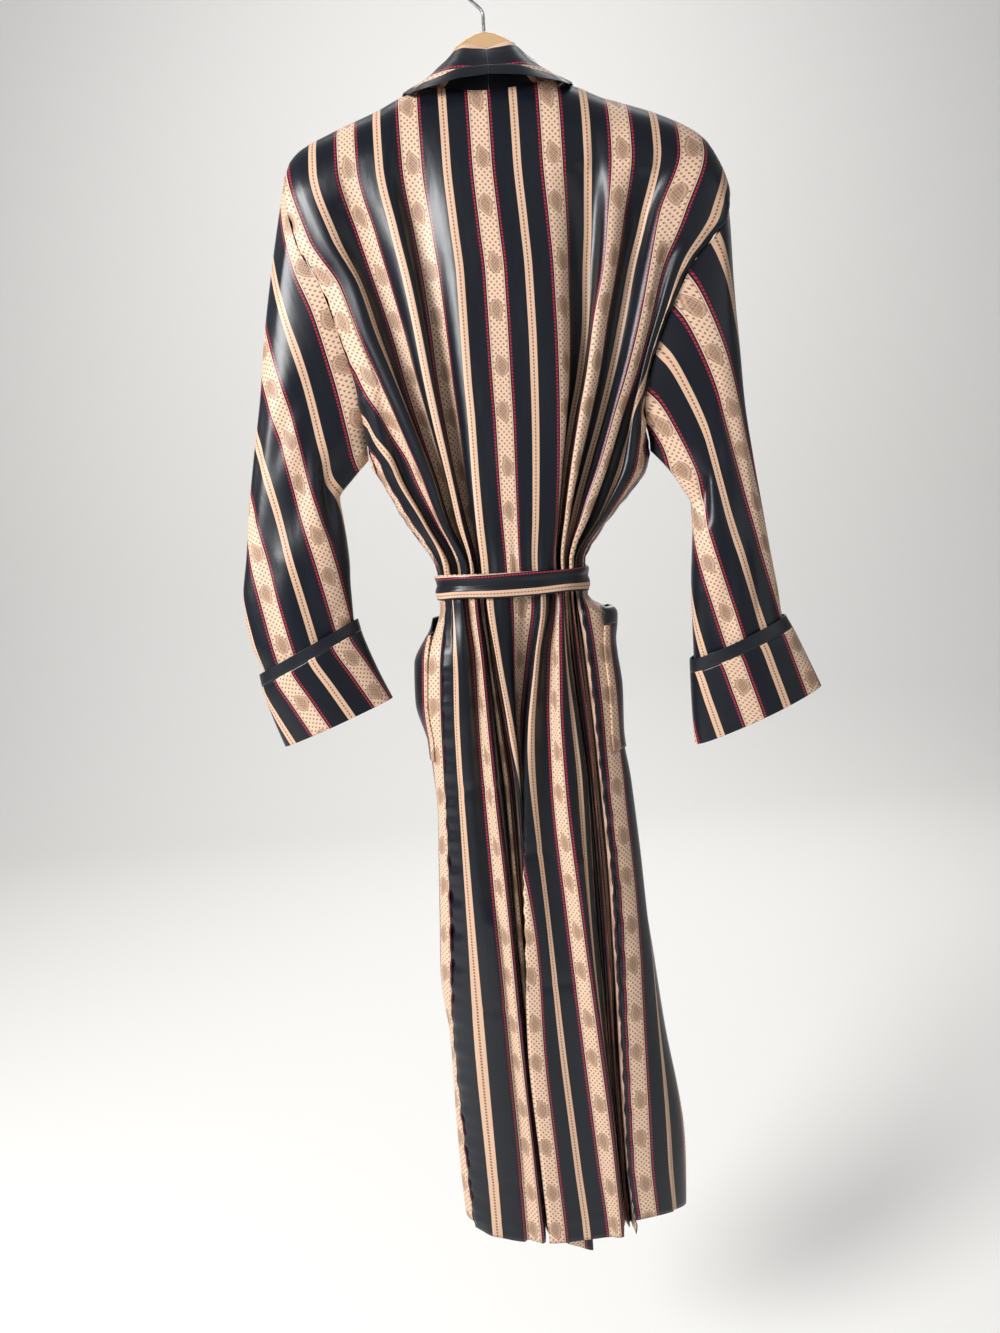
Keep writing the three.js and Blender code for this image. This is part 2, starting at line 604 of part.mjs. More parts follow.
function frontPoint(side, share, z) {
  const girth = girthAt(z);
  const spot = (part) => girthPoint(girth, z, frontAngle(side, part, z));
  let along = 0;
  let before = null;
  const lines = FRONT_FOLDS.map((fold) => {
    const here = spot(fold.share);
    if (before) along += Math.hypot(here.x - before.x, here.y - before.y);
    before = here;
    return { cloth: fold.share * frontCloth(z), along, recess: fold.recess };
  });
  const depths = foldDepths(lines, FRONT_ROOM);
  const place = sectionPlace(lines, depths, share * frontCloth(z));
  const here = spot(share);
  const near = spot(Math.min(1, share + 0.01));
  const far = spot(Math.max(0, share - 0.01));
  const inward = new THREE.Vector2(near.y - far.y, far.x - near.x).normalize();
  if (side === 'right') inward.negate();
  const depth = place.depth * settled(here.x, z) * (1 - POCKET_CALM * pocketHold(z));
  const x = here.x + inward.x * depth;
  const y = here.y + inward.y * depth - wrapDrop(side, here.x, here.y, z);
  return new THREE.Vector3(x, y, z);
}

// The two layers of a pocket keep the folds under it shallow.
function pocketHold(z) {
  return ease((BELT_LOW - z) / 22) * ease((z - POCKET_LOW + 60) / 55);
}

function frontCloth(z) {
  return mix(150, FRONT_CLOTH, ease((z + 150) / -420));
}

function frontHem(side, share) {
  const strip = HEM_Z + STRIP_RISE * (1 - ease(share / 0.5));
  if (side === 'right') return strip;
  return strip - FRONT_HEM_DROP * ease((share - 0.3) / 0.5) - CORNER_DROP * ease((share - 0.85) / 0.15);
}

function frontGrid(side) {
  const grid = FRONT_COLUMNS.map((share) => {
    const top = topOf((z) => frontPoint(side, share, z), ridgeZ);
    return rowLevels(top, frontHem(side, share)).map((z) => frontPoint(side, share, z));
  });
  return insetEdges(grid, { first: true, top: true });
}

// Walls. A grid of points on the middle of the cloth becomes one closed body:
// the outer and the inner face, half the cloth out and in, and the four edges.
function gridNormals(grid, closed) {
  const columns = grid.length;
  const rows = grid[0].length;
  return grid.map((column, i) =>
    column.map((point, j) => {
      const left = grid[closed ? (i + columns - 1) % columns : Math.max(0, i - 1)][j];
      const right = grid[closed ? (i + 1) % columns : Math.min(columns - 1, i + 1)][j];
      const across = right.clone().sub(left);
      const down = column[Math.min(rows - 1, j + 1)].clone().sub(column[Math.max(0, j - 1)]);
      return across.cross(down).normalize();
    }),
  );
}

function wallGeometry(grid, { thick = CLOTH, closed = false, flip = false } = {}) {
  const columns = grid.length;
  const rows = grid[0].length;
  const normals = gridNormals(grid, closed);
  const sign = flip ? -1 : 1;
  const positions = [];
  for (const way of [sign, -sign]) {
    for (let i = 0; i < columns; i += 1) {
      for (let j = 0; j < rows; j += 1) {
        const point = grid[i][j].clone().addScaledVector(normals[i][j], (way * thick) / 2);
        positions.push(point.x, point.y, point.z);
      }
    }
  }
  const outer = (i, j) => (i % columns) * rows + j;
  const inner = (i, j) => columns * rows + outer(i, j);
  const faces = [];
  const quad = (a, b, c, d) => {
    if (flip) faces.push(a, c, b, a, d, c);
    else faces.push(a, b, c, a, c, d);
  };
  const spans = closed ? columns : columns - 1;
  for (let i = 0; i < spans; i += 1) {
    for (let j = 0; j < rows - 1; j += 1) {
      quad(outer(i, j), outer(i + 1, j), outer(i + 1, j + 1), outer(i, j + 1));
      quad(inner(i, j), inner(i, j + 1), inner(i + 1, j + 1), inner(i + 1, j));
    }
    quad(inner(i, 0), inner(i + 1, 0), outer(i + 1, 0), outer(i, 0));
    quad(outer(i, rows - 1), outer(i + 1, rows - 1), inner(i + 1, rows - 1), inner(i, rows - 1));
  }
  if (!closed) {
    const end = columns - 1;
    for (let j = 0; j < rows - 1; j += 1) {
      quad(outer(0, j), outer(0, j + 1), inner(0, j + 1), inner(0, j));
      quad(inner(end, j), inner(end, j + 1), outer(end, j + 1), outer(end, j));
    }
  }
  const geometry = new THREE.BufferGeometry();
  geometry.setAttribute('position', new THREE.Float32BufferAttribute(positions, 3));
  geometry.setIndex(faces);
  geometry.computeVertexNormals();
  return geometry;
}

const group = new THREE.Group();

function addPiece(name, geometry, colour, roughness = 0.35, metalness = 0) {
  const material = new THREE.MeshStandardMaterial({ color: colour, roughness, metalness });
  const mesh = new THREE.Mesh(geometry, material);
  mesh.name = name;
  geometry.translate(0, 0, -HOOK_RISE);
  group.add(mesh);
}

const FRONTS = { left: frontGrid('left'), right: frontGrid('right') };
addPiece('back', wallGeometry(backGrid()), STRIPE);
addPiece('front_left', wallGeometry(FRONTS.left, { flip: true }), STRIPE);
addPiece('front_right', wallGeometry(FRONTS.right), STRIPE);

// Patch pockets: the front's own points between two columns and two rows,
// moved out. The mouth stands a little further off.
function pocketGrid(side, highest, lowest) {
  const out = side === 'left' ? 1 : -1;
  const normals = gridNormals(FRONTS[side], false);
  const from = POCKET_FROM / FRONT_CLOTH - 0.001;
  const to = POCKET_TO / FRONT_CLOTH + 0.001;
  const grid = [];
  FRONT_COLUMNS.forEach((share, i) => {
    if (share < from || share > to) return;
    const column = [];
    FRONTS[side][i].forEach((point, j) => {
      if (point.z > highest + 1 || point.z < lowest - 1) return;
      const gape = POCKET_GAPE * ease((point.z + 700) / 45);
      const open = new THREE.Vector3(point.x, point.y, 0).setLength(gape);
      column.push(point.clone().addScaledVector(normals[i][j], out * POCKET_LIFT).add(open));
    });
    grid.push(column);
  });
  return grid;
}

for (const side of ['left', 'right']) {
  const flip = side === 'left';
  const split = POCKET_TOP - POCKET_BAND;
  const body = insetEdges(pocketGrid(side, split, POCKET_LOW), { top: true });
  addPiece(`pocket_${side}`, wallGeometry(body, { flip }), STRIPE);
  const band = insetEdges(pocketGrid(side, POCKET_TOP, split), { low: true });
  addPiece(`pocket_band_${side}`, wallGeometry(band, { flip }), BLACK);
}

// Sleeves: loops from the armhole down to the end inside the cuff. A loop runs
// from the outer silhouette over the back to the inner one and home in front.
function armholePoint(side, turn) {
  const over = (1 - Math.cos(2 * Math.PI * turn)) / 2;
  const z = mix(SHOULDER_TIP[side], UNDERARM[side], over);
  const girth = girthAt(z);
  const x = girth[side];
  const y = turn < 0.5 ? girth.edgeBack : girth.edgeFront;
  const out = side === 'left' ? -ARMHOLE_GAP.left : ARMHOLE_GAP.right;
  const shut = Math.min(1, Math.sin(Math.PI * over) * 2.2);
  return new THREE.Vector3(x + out, y * shoulderRoll(x, z) * shut, z);
}

function loopPoint(section, turn, grow = 0) {
  const angle = 2 * Math.PI * turn;
  const across = new THREE.Vector2(section.ox - section.ix, section.oz - section.iz);
  const reach = across.length() / 2 + grow;
  across.normalize().multiplyScalar(reach * Math.cos(angle));
  return new THREE.Vector3(
    (section.ox + section.ix) / 2 + across.x,
    -(section.half + grow) * Math.sin(angle),
    (section.oz + section.iz) / 2 + across.y,
  );
}

function sleeveFold(turn, run) {
  let depth = 0;
  for (const fold of SLEEVE_FOLDS) {
    const along = (run - fold.from) / (fold.to - fold.from);
    if (along <= 0 || along >= 1) continue;
    const off = (turn - mix(fold.turnTop, fold.turnLow, along)) / fold.width;
    depth += fold.depth * Math.sin(Math.PI * along) * Math.exp(-off * off);
  }
  return depth;
}

// Columns of a sleeve start level with the rows of the panels it joins.
function sleeveTurns(side) {
  const turns = UPPER_ROWS.slice(2, 10).map((share) => {
    const z = mix(SHOULDER_TIP[side], WAIST_Z, share);
    const over = (z - SHOULDER_TIP[side]) / (UNDERARM[side] - SHOULDER_TIP[side]);
    return Math.acos(1 - 2 * over) / (2 * Math.PI);
  });
  return [0, ...turns, 0.5, ...turns.map((turn) => 1 - turn).reverse()];
}

function sleeveGrid(side, sections) {
  return sleeveTurns(side).map((turn) => {
    const column = [armholePoint(side, turn)];
    sections.forEach((section, k) => {
      const run = (k + 1) / sections.length;
      const loop = loopPoint(section, turn);
      const middle = loopPoint({ ...section, half: 0 }, 0.25);
      const inward = middle.sub(loop).setZ(0).normalize();
      loop.addScaledVector(inward, sleeveFold(turn, run));
      column.push(column[0].clone().lerp(loop, ease((k + 1) / 3)));
    });
    return column;
  });
}

function cuffGrid(sections, around, from, to, grow) {
  const rows = [];
  const keys = sections.map((section, k) => k / (sections.length - 1));
  for (const place of [0, 0.5, 1]) {
    const at = mix(from, to, place);
    const section = {};
    for (const column of ['ox', 'oz', 'ix', 'iz', 'half']) {
      section[column] = smoothValue(keys, sections.map((row) => row[column]), at);
    }
    rows.push(section);
  }
  const grid = [];
  for (let i = 0; i < around; i += 1) {
    grid.push(rows.map((section) => loopPoint(section, i / around, grow)));
  }
  return grid;
}

const CUFF_AROUND = 20;
const BAND_SHARE = 0.29;
for (const side of ['left', 'right']) {
  const flip = side === 'left';
  const sleeve = side === 'left' ? SLEEVE_LEFT : SLEEVE_RIGHT;
  const cuff = side === 'left' ? CUFF_LEFT : CUFF_RIGHT;
  addPiece(`sleeve_${side}`, wallGeometry(sleeveGrid(side, sleeve), { closed: true, flip }), STRIPE);
  const band = cuffGrid(cuff, CUFF_AROUND, 0, BAND_SHARE, CUFF_GAP);
  const body = cuffGrid(cuff, CUFF_AROUND, BAND_SHARE + 0.012, 1, CUFF_GAP);
  addPiece(`cuff_band_${side}`, wallGeometry(band, { closed: true, flip }), BLACK);
  addPiece(`cuff_${side}`, wallGeometry(body, { closed: true, flip }), STRIPE);
}

// Shawl collar. A section starts at the neck or the front's edge, stands up to
// the roll line, turns over and falls to the outer edge.
const ROLL = 1.4;

function neckSection(row, mirror, start) {
  const roll = new THREE.Vector3(mirror * row.rx, row.ry, row.rz);
  const edge = new THREE.Vector3(mirror * row.ex, row.ey, row.ez);
  const out = edge.clone().sub(start).setZ(0).normalize();
  const rise = roll.clone().addScaledVector(out, -ROLL);
  const crown = roll.clone().add(new THREE.Vector3(0, 0, ROLL));
  const fall = roll.clone().addScaledVector(out, ROLL);
  const middle = start.clone().lerp(rise, 0.5);
  const leaf = (share) => fall.clone().lerp(edge, share).addScaledVector(out, 5 * share * (1 - share));
  return { stand: [start, middle, rise, crown], leaf, width: fall.distanceTo(edge) };
}

function frontSurface(side, x, z) {
  const y = girthY(girthAt(z), x, 1) * shoulderRoll(x, z);
  return y - wrapDrop(side, x, y, z);
}

function frontSection(side, row, mirror) {
  const edge = frontPoint(side, 1, row.z);
  const beyond = (step, lift) => new THREE.Vector3(edge.x - mirror * step, edge.y + lift, row.z);
  const leaf = (share) => {
    const reach = share * row.width;
    const x = edge.x + mirror * (reach - (1 - share) * 4);
    const z = row.z - EDGE_SLOPE * reach;
    return new THREE.Vector3(x, frontSurface(side, x, z) + COLLAR_LIFT, z);
  };
  const stand = [beyond(0.9, 0), beyond(2.5, 0), beyond(4, 0.2), beyond(5.6, 1.5)];
  return { stand, leaf, width: row.width };
}

function collarSections(side) {
  const mirror = side === 'left' ? -1 : 1;
  const sections = COLLAR_NECK.map((row) => {
    const x = mirror * row.nx;
    return neckSection(row, mirror, new THREE.Vector3(x, -neckDepth(x), neckZ(x)));
  });
  const turn = frontPoint(side, 1, COLLAR_TURN.z);
  sections.push(neckSection(COLLAR_TURN, mirror, turn.setX(turn.x - mirror * 0.9)));
  return [...sections, ...COLLAR_FRONT.map((row) => frontSection(side, row, mirror))];
}

for (const side of ['left', 'right']) {
  const flip = side === 'right';
  const sections = collarSections(side);
  const splitOf = (section) => Math.max(0.3, 1 - BAND_WIDTH / section.width);
  const body = sections.map((section) => {
    const split = splitOf(section);
    return [...section.stand, section.leaf(0), section.leaf(split / 2), section.leaf(split)];
  });
  const band = sections.map((section) => {
    const split = splitOf(section) + SEAM / section.width;
    return [section.leaf(split), section.leaf((1 + split) / 2), section.leaf(1)];
  });
  addPiece(`collar_${side}`, wallGeometry(body, { flip }), STRIPE);
  addPiece(`collar_band_${side}`, wallGeometry(band, { flip }), BLACK);
}

// Belt
function beltRing(z) {
  const girth = girthAt(z);
  const ring = [];
  for (let i = 0; i < BELT_AROUND; i += 1) {
    const point = girthPoint(girth, z, Math.PI * ((2 * i) / BELT_AROUND - 1));
    ring.push(new THREE.Vector3(point.x, point.y, z));
  }
  return ring.map((point, i) => {
    const before = ring[(i + BELT_AROUND - 1) % BELT_AROUND];
    const after = ring[(i + 1) % BELT_AROUND];
    const out = new THREE.Vector3(after.y - before.y, before.x - after.x, 0);
    return point.clone().add(out.setLength(BELT_OUT));
  });
}

function beltGrid() {
  const rings = [BELT_TOP, (BELT_TOP + BELT_LOW) / 2, BELT_LOW].map(beltRing);
  return rings[0].map((point, i) => rings.map((ring) => ring[i]));
}

function knotGeometry() {
  const geometry = new THREE.SphereGeometry(1, 18, 12);
  const position = geometry.getAttribute('position');
  const point = new THREE.Vector3();
  for (let i = 0; i < position.count; i += 1) {
    point.fromBufferAttribute(position, i);
    const turn = Math.atan2(point.z, point.x);
    const swell = 1 + KNOT.lobe * Math.cos(3 * turn) * (1 - point.y ** 2);
    position.setXYZ(
      i,
      KNOT.x + KNOT.halfWide * swell * point.x,
      KNOT.y + KNOT.halfDeep * Math.max(point.y, -0.9),
      KNOT.z + KNOT.halfHigh * swell * point.z,
    );
  }
  return geometry;
}

function beltEndGrid(end) {
  const grid = [];
  for (const across of [-0.5, -0.25, 0, 0.25, 0.5]) {
    const column = [];
    for (let row = 0; row <= 10; row += 1) {
      const t = row / 10;
      const spread = mix(0.55, 1, ease(t * 2.5));
      const turn = end.twist * Math.sin(Math.PI * t);
      const ripple = 1.5 * Math.cos(4 * Math.PI * across) * (1 - t);
      column.push(new THREE.Vector3(
        mix(end.topX, end.lowX, t) + BELT_WIDTH * across * spread * Math.cos(turn),
        end.y + BELT_WIDTH * across * spread * Math.sin(turn) * 0.3 + ripple,
        mix(end.topZ, end.lowZ, t),
      ));
    }
    grid.push(column);
  }
  return grid;
}

addPiece('belt', wallGeometry(beltGrid(), { thick: BELT_THICK, closed: true }), BLACK);
addPiece('belt_knot', knotGeometry(), BLACK);
for (const end of BELT_ENDS) {
  addPiece(`belt_end_${end.name}`, wallGeometry(beltEndGrid(end), { thick: 1.6, flip: true }), BLACK);
}

// Hanger
function hangerGeometry() {
  const steps = 20;
  const end = HANGER[HANGER.length - 1];
  const half = [];
  for (let i = 0; i <= steps; i += 1) {
    const x = (end.x * i) / steps;
    half.push({ x, top: tableValue(HANGER, 'x', 'top', x), low: tableValue(HANGER, 'x', 'low', x) });
  }
  const tip = { x: end.x + HANGER_END, z: (end.top + end.low) / 2 - 1 };
  const shape = new THREE.Shape();
  half.slice(1).reverse().forEach((point, i) => {
    if (i === 0) shape.moveTo(-point.x, point.top);
    else shape.lineTo(-point.x, point.top);
  });
  half.forEach((point) => shape.lineTo(point.x, point.top));
  shape.lineTo(tip.x, tip.z);
  half.slice(1).reverse().forEach((point) => shape.lineTo(point.x, point.low));
  half.forEach((point) => shape.lineTo(-point.x, point.low));
  shape.lineTo(-tip.x, tip.z);
  const bevel = 1.5;
  const geometry = new THREE.ExtrudeGeometry(shape, {
    depth: HANGER_THICK - 2 * bevel,
    bevelThickness: bevel,
    bevelSize: bevel,
    bevelOffset: -bevel,
    bevelSegments: 1,
  });
  geometry.rotateX(Math.PI / 2);
  geometry.translate(0, HANGER_THICK / 2 - bevel, 0);
  return geometry;
}

function hookGeometry() {
  const reach = HOOK_INNER + WIRE / 2;
  const centre = HOOK_RISE - HOOK_INNER;
  const points = [
    new THREE.Vector3(0, 0, HOOK_FOOT),
    new THREE.Vector3(0, 0, (HOOK_FOOT + HOOK_STEM) / 2),
    new THREE.Vector3(-0.6, 0, HOOK_STEM),
  ];
  for (let turn = 222; turn >= -24; turn -= 20.5) {
    const angle = THREE.MathUtils.degToRad(turn);
    points.push(new THREE.Vector3(reach * Math.cos(angle), 0, centre + reach * Math.sin(angle)));
  }
  const wire = new THREE.Shape();
  wire.absarc(0, 0, WIRE / 2, 0, 2 * Math.PI);
  return new THREE.ExtrudeGeometry(wire, {
    steps: 44,
    curveSegments: 5,
    extrudePath: new THREE.CatmullRomCurve3(points),
    bevelEnabled: false,
  });
}

const WOOD = 0xb98a5a;
const STEEL = 0xb9bcc0;
addPiece('hanger_wood', hangerGeometry(), WOOD, 0.45);
addPiece('hanger_hook', hookGeometry(), STEEL, 0.25, 1);

export default group;
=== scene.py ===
"""A long striped satin robe on a wooden hanger, seen from behind.

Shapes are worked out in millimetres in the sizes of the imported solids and
turned into metres when a mesh is made. The height of the hook's bearing over
the level that these sizes start from is taken off there.
"""

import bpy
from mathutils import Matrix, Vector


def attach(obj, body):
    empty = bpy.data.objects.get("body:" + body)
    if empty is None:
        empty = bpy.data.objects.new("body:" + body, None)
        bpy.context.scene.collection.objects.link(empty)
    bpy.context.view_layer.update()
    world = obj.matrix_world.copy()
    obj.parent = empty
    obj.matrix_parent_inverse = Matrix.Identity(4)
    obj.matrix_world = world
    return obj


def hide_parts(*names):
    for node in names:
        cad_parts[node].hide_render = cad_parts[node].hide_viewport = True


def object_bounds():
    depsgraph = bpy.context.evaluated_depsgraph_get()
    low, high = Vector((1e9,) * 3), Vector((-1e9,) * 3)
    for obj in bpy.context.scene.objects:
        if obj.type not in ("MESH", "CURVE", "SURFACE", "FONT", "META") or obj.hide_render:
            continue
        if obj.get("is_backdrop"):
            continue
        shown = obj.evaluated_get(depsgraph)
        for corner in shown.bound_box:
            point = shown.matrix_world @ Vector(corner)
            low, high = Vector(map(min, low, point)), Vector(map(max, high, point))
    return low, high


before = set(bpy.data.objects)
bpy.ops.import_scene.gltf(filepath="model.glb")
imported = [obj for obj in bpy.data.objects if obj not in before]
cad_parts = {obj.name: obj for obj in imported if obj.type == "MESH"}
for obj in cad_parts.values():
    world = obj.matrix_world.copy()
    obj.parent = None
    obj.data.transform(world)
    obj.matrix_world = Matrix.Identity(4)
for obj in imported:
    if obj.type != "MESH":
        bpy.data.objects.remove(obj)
cad_box = [list(map(float, corner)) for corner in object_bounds()]

import math

import bpy
import numpy as np
from mathutils import Matrix, Vector

# Camera
# It stands behind the robe at chest height and looks a little down. Its place
# and turns are those that bring the photograph's outlines and the robe's sizes
# together.
HOOK_RISE = 22.0
CAMERA_AT = (-40.0, -1127.0, -575.0)
PITCH, ROLL, YAW = math.radians(7.07), math.radians(3.91), math.radians(0.58)
LENS = 27.09


def to_metres(point):
    """A point of the sizes' frame in millimetres, as metres in the model's frame."""
    return Vector((point[0], point[1], point[2] - HOOK_RISE)) / 1000


ahead = Vector((math.sin(YAW) * math.cos(PITCH), math.cos(YAW) * math.cos(PITCH), -math.sin(PITCH)))
level = ahead.cross(Vector((0, 0, 1))).normalized()
below = ahead.cross(level)
right = math.cos(ROLL) * level + math.sin(ROLL) * below
down = -math.sin(ROLL) * level + math.cos(ROLL) * below
camera = bpy.data.objects.new("camera", bpy.data.cameras.new("camera"))
camera.data.lens = LENS
camera.data.sensor_width = 36
camera.data.sensor_fit = "AUTO"
camera.data.clip_start = 0.05
camera.matrix_world = Matrix((
    (right.x, -down.x, -ahead.x, 0), (right.y, -down.y, -ahead.y, 0),
    (right.z, -down.z, -ahead.z, 0), (0, 0, 0, 1)))
camera.location = to_metres(CAMERA_AT)
bpy.context.scene.collection.objects.link(camera)
bpy.context.scene.camera = camera


# Satin
# The robe's cloth: a dark ground with a wide pale stripe at every repeat, a
# narrow pale stripe half way between, and a thin dotted red line on both sides
# of the wide one. Every striped piece carries its place in the cloth as a
# texture map in metres, across the stripes and along them.
REPEAT = 73.0
WIDE_HALF = 10.0
NARROW_HALF = 4.1
RED_FROM, RED_TO = 11.4, 13.2
MOTIF_PITCH, DOT_PITCH = 52.0, 6.0
GROUND = (0.0042, 0.0058, 0.0105)
CREAM = (0.6, 0.39, 0.27)
PALE = (0.68, 0.47, 0.34)
BROWN = (0.17, 0.09, 0.05)
RED = (0.3, 0.018, 0.045)


class Term:
    """A number in a material's node tree. Arithmetic on it adds Math nodes."""

    def __init__(self, tree, socket):
        self.tree = tree
        self.socket = socket

    def math(self, operation, *others):
        node = self.tree.nodes.new("ShaderNodeMath")
        node.operation = operation
        for slot, value in zip(node.inputs, (self, *others)):
            if isinstance(value, Term):
                self.tree.links.new(value.socket, slot)
            else:
                slot.default_value = value
        return Term(self.tree, node.outputs[0])

    def __add__(self, other):
        return self.math("ADD", other)

    def __sub__(self, other):
        return self.math("SUBTRACT", other)

    def __mul__(self, other):
        return self.math("MULTIPLY", other)

    def __truediv__(self, other):
        return self.math("DIVIDE", other)

    def inside(self, limit, soft=0.25):
        """1 where this is under the limit, fading to 0 over a soft edge."""
        node = self.tree.nodes.new("ShaderNodeMapRange")
        node.interpolation_type = "SMOOTHSTEP"
        self.tree.links.new(self.socket, node.inputs["Value"])
        for name, value in (("From Min", -soft), ("From Max", soft), ("To Min", 1.0), ("To Max", 0.0)):
            node.inputs[name].default_value = value
        shifted = self - limit
        self.tree.links.new(shifted.socket, node.inputs["Value"])
        return Term(self.tree, node.outputs["Result"])


def paint(tree, colours):
    """Layers of colour: each (colour, mask) lies over the ones before it."""
    below_layer = None
    for colour, mask in colours:
        if mask is None:
            node = tree.nodes.new("ShaderNodeRGB")
            node.outputs[0].default_value = (*colour, 1)
            below_layer = node.outputs[0]
            continue
        node = tree.nodes.new("ShaderNodeMix")
        node.data_type = "RGBA"
        tree.links.new(mask.socket, node.inputs["Factor"])
        tree.links.new(below_layer, node.inputs["A"])
        node.inputs["B"].default_value = (*colour, 1)
        below_layer = node.outputs["Result"]
    return below_layer


def new_material(name, roughness, specular=0.5):
    """A material with its principled shader: (material, tree, shader)."""
    material = bpy.data.materials.new(name)
    material.use_nodes = True
    tree = material.node_tree
    shader = tree.nodes["Principled BSDF"]
    shader.inputs["Roughness"].default_value = roughness
    shader.inputs["Specular IOR Level"].default_value = specular
    return material, tree, shader


def cloth_place(tree):
    """The place in the cloth, in millimetres: (across, along)."""
    uv = tree.nodes.new("ShaderNodeUVMap")
    uv.uv_map = "cloth"
    split = tree.nodes.new("ShaderNodeSeparateXYZ")
    tree.links.new(uv.outputs[0], split.inputs[0])
    return Term(tree, split.outputs[0]) * 1000.0, Term(tree, split.outputs[1]) * 1000.0


def satin_relief(tree, shader, across, along, strength):
    """Long soft ripples and the fine threads of the weave, as bump."""
    place = tree.nodes.new("ShaderNodeCombineXYZ")
    tree.links.new((across * 0.02).socket, place.inputs[0])
    tree.links.new((along * 0.006).socket, place.inputs[1])
    ripples = tree.nodes.new("ShaderNodeTexNoise")
    ripples.inputs["Scale"].default_value = 1.6
    ripples.inputs["Detail"].default_value = 3
    tree.links.new(place.outputs[0], ripples.inputs["Vector"])
    threads = (across * 7.0).math("SINE") * (along * 2.2 + across * 2.2).math("SINE")
    height = Term(tree, ripples.outputs[0]) * 1.0 + threads * 0.012
    bump = tree.nodes.new("ShaderNodeBump")
    bump.inputs["Strength"].default_value = strength
    bump.inputs["Distance"].default_value = 0.004
    tree.links.new(height.socket, bump.inputs["Height"])
    tree.links.new(bump.outputs[0], shader.inputs["Normal"])
    return Term(tree, ripples.outputs[0])


def striped_satin():
    """The striped cloth. From the middle of a wide stripe outwards: pale cloth
    with a lattice of tiny dots and shaded drop motifs, a fine edge, a dark gap,
    the dotted red line, the ground, and half of a narrow stripe with a row of
    dots down its middle."""
    material, tree, shader = new_material("striped_satin", 0.34, 0.38)
    across, along = cloth_place(tree)
    turn = across / REPEAT + 0.5
    offset = (turn - turn.math("FLOOR") - 0.5) * REPEAT
    wide = offset.math("ABSOLUTE")
    narrow = (wide * -1.0 + REPEAT / 2).math("ABSOLUTE")
    wave = 2 * math.pi / DOT_PITCH
    lattice = (offset * wave).math("SINE") * (along * wave).math("SINE")
    dots = (lattice * -1.0).inside(-0.5, 0.2)
    cell = along / MOTIF_PITCH
    row = cell.math("FLOOR")
    flip = (row * 0.5 - (row * 0.5).math("FLOOR")) * -4.0 + 1.0
    p = offset * flip
    q = (cell - row - 0.5) * flip * MOTIF_PITCH + 2.0
    up = q.math("MAXIMUM", 0.0)
    lean = up * up * 0.03 - 1.2
    half = (q * q * -0.5 + 66.0).math("MAXIMUM", 0.0).math("SQRT") * (up * -0.04 + 1.0)
    inner = (p - lean).math("ABSOLUTE") - half
    motif = inner.inside(-0.3, 0.8)
    ring = (inner + 2.6).math("ABSOLUTE").inside(0.8, 0.4)
    seeds = ((along * 1.9).math("SINE") * (p * 1.9).math("SINE")).inside(0.0, 0.4)
    in_wide = wide.inside(WIDE_HALF, 0.2)
    in_lattice = wide.inside(WIDE_HALF - 1.4, 0.2)
    red_dots = ((along * 1.7).math("SINE") * -1.0).inside(0.6, 0.4)
    red = (wide - (RED_FROM + RED_TO) / 2).math("ABSOLUTE").inside((RED_TO - RED_FROM) / 2, 0.2) * red_dots
    seam_dots = ((along * 1.7).math("SINE") * -1.0).inside(0.4, 0.3) * narrow.inside(0.75, 0.25)
    colour = paint(tree, (
        (GROUND, None),
        (CREAM, narrow.inside(NARROW_HALF, 0.2)),
        (BROWN, seam_dots),
        (RED, red),
        (PALE, in_wide),
        (BROWN, in_lattice * dots * 0.9),
        (BROWN, motif * in_lattice * 0.8),
        (CREAM, ring * motif * in_lattice * 0.55),
        (CREAM, seeds * motif * in_lattice * 0.45),
        (BROWN, (wide - (WIDE_HALF - 1.2)).math("ABSOLUTE").inside(0.3, 0.2) * 0.8)))
    tree.links.new(colour, shader.inputs["Base Color"])
    pale = in_wide.math("MAXIMUM", narrow.inside(NARROW_HALF, 0.2))
    ripples = satin_relief(tree, shader, across, along, 0.35)
    rough = pale * 0.14 + ripples * 0.1 + 0.27
    tree.links.new(rough.socket, shader.inputs["Roughness"])
    shader.inputs["Sheen Weight"].default_value = 0.03
    shader.inputs["Sheen Roughness"].default_value = 0.4
    shader.inputs["Anisotropic"].default_value = 0.35
    return material


def plain_satin():
    """The dark cloth of the bands along collar, cuffs and pockets."""
    material, tree, shader = new_material("plain_satin", 0.33, 0.4)
    across, along = cloth_place(tree)
    ripples = satin_relief(tree, shader, across, along, 0.3)
    # Painted shade: the ground is painted a little lighter on the ripples' crests and darker in their
    # troughs, following the bump's relief.
    colour = paint(tree, ((GROUND, None), ((0.009, 0.011, 0.016), ripples)))
    tree.links.new(colour, shader.inputs["Base Color"])
    tree.links.new((ripples * 0.14 + 0.26).socket, shader.inputs["Roughness"])
    shader.inputs["Sheen Weight"].default_value = 0.03
    return material


STRIPED = striped_satin()
PLAIN = plain_satin()


# Back
# One wide panel of satin from the neck and shoulders to the hem. It hangs from
# the hanger in long folds that the belt gathers, and below the belt in two
# deep hanging folds. Sewn along both side seams and round the armholes.
def table(names, *rows):
    """A small table as its named columns."""
    return dict(zip(names.split(), np.array(rows, float).T))


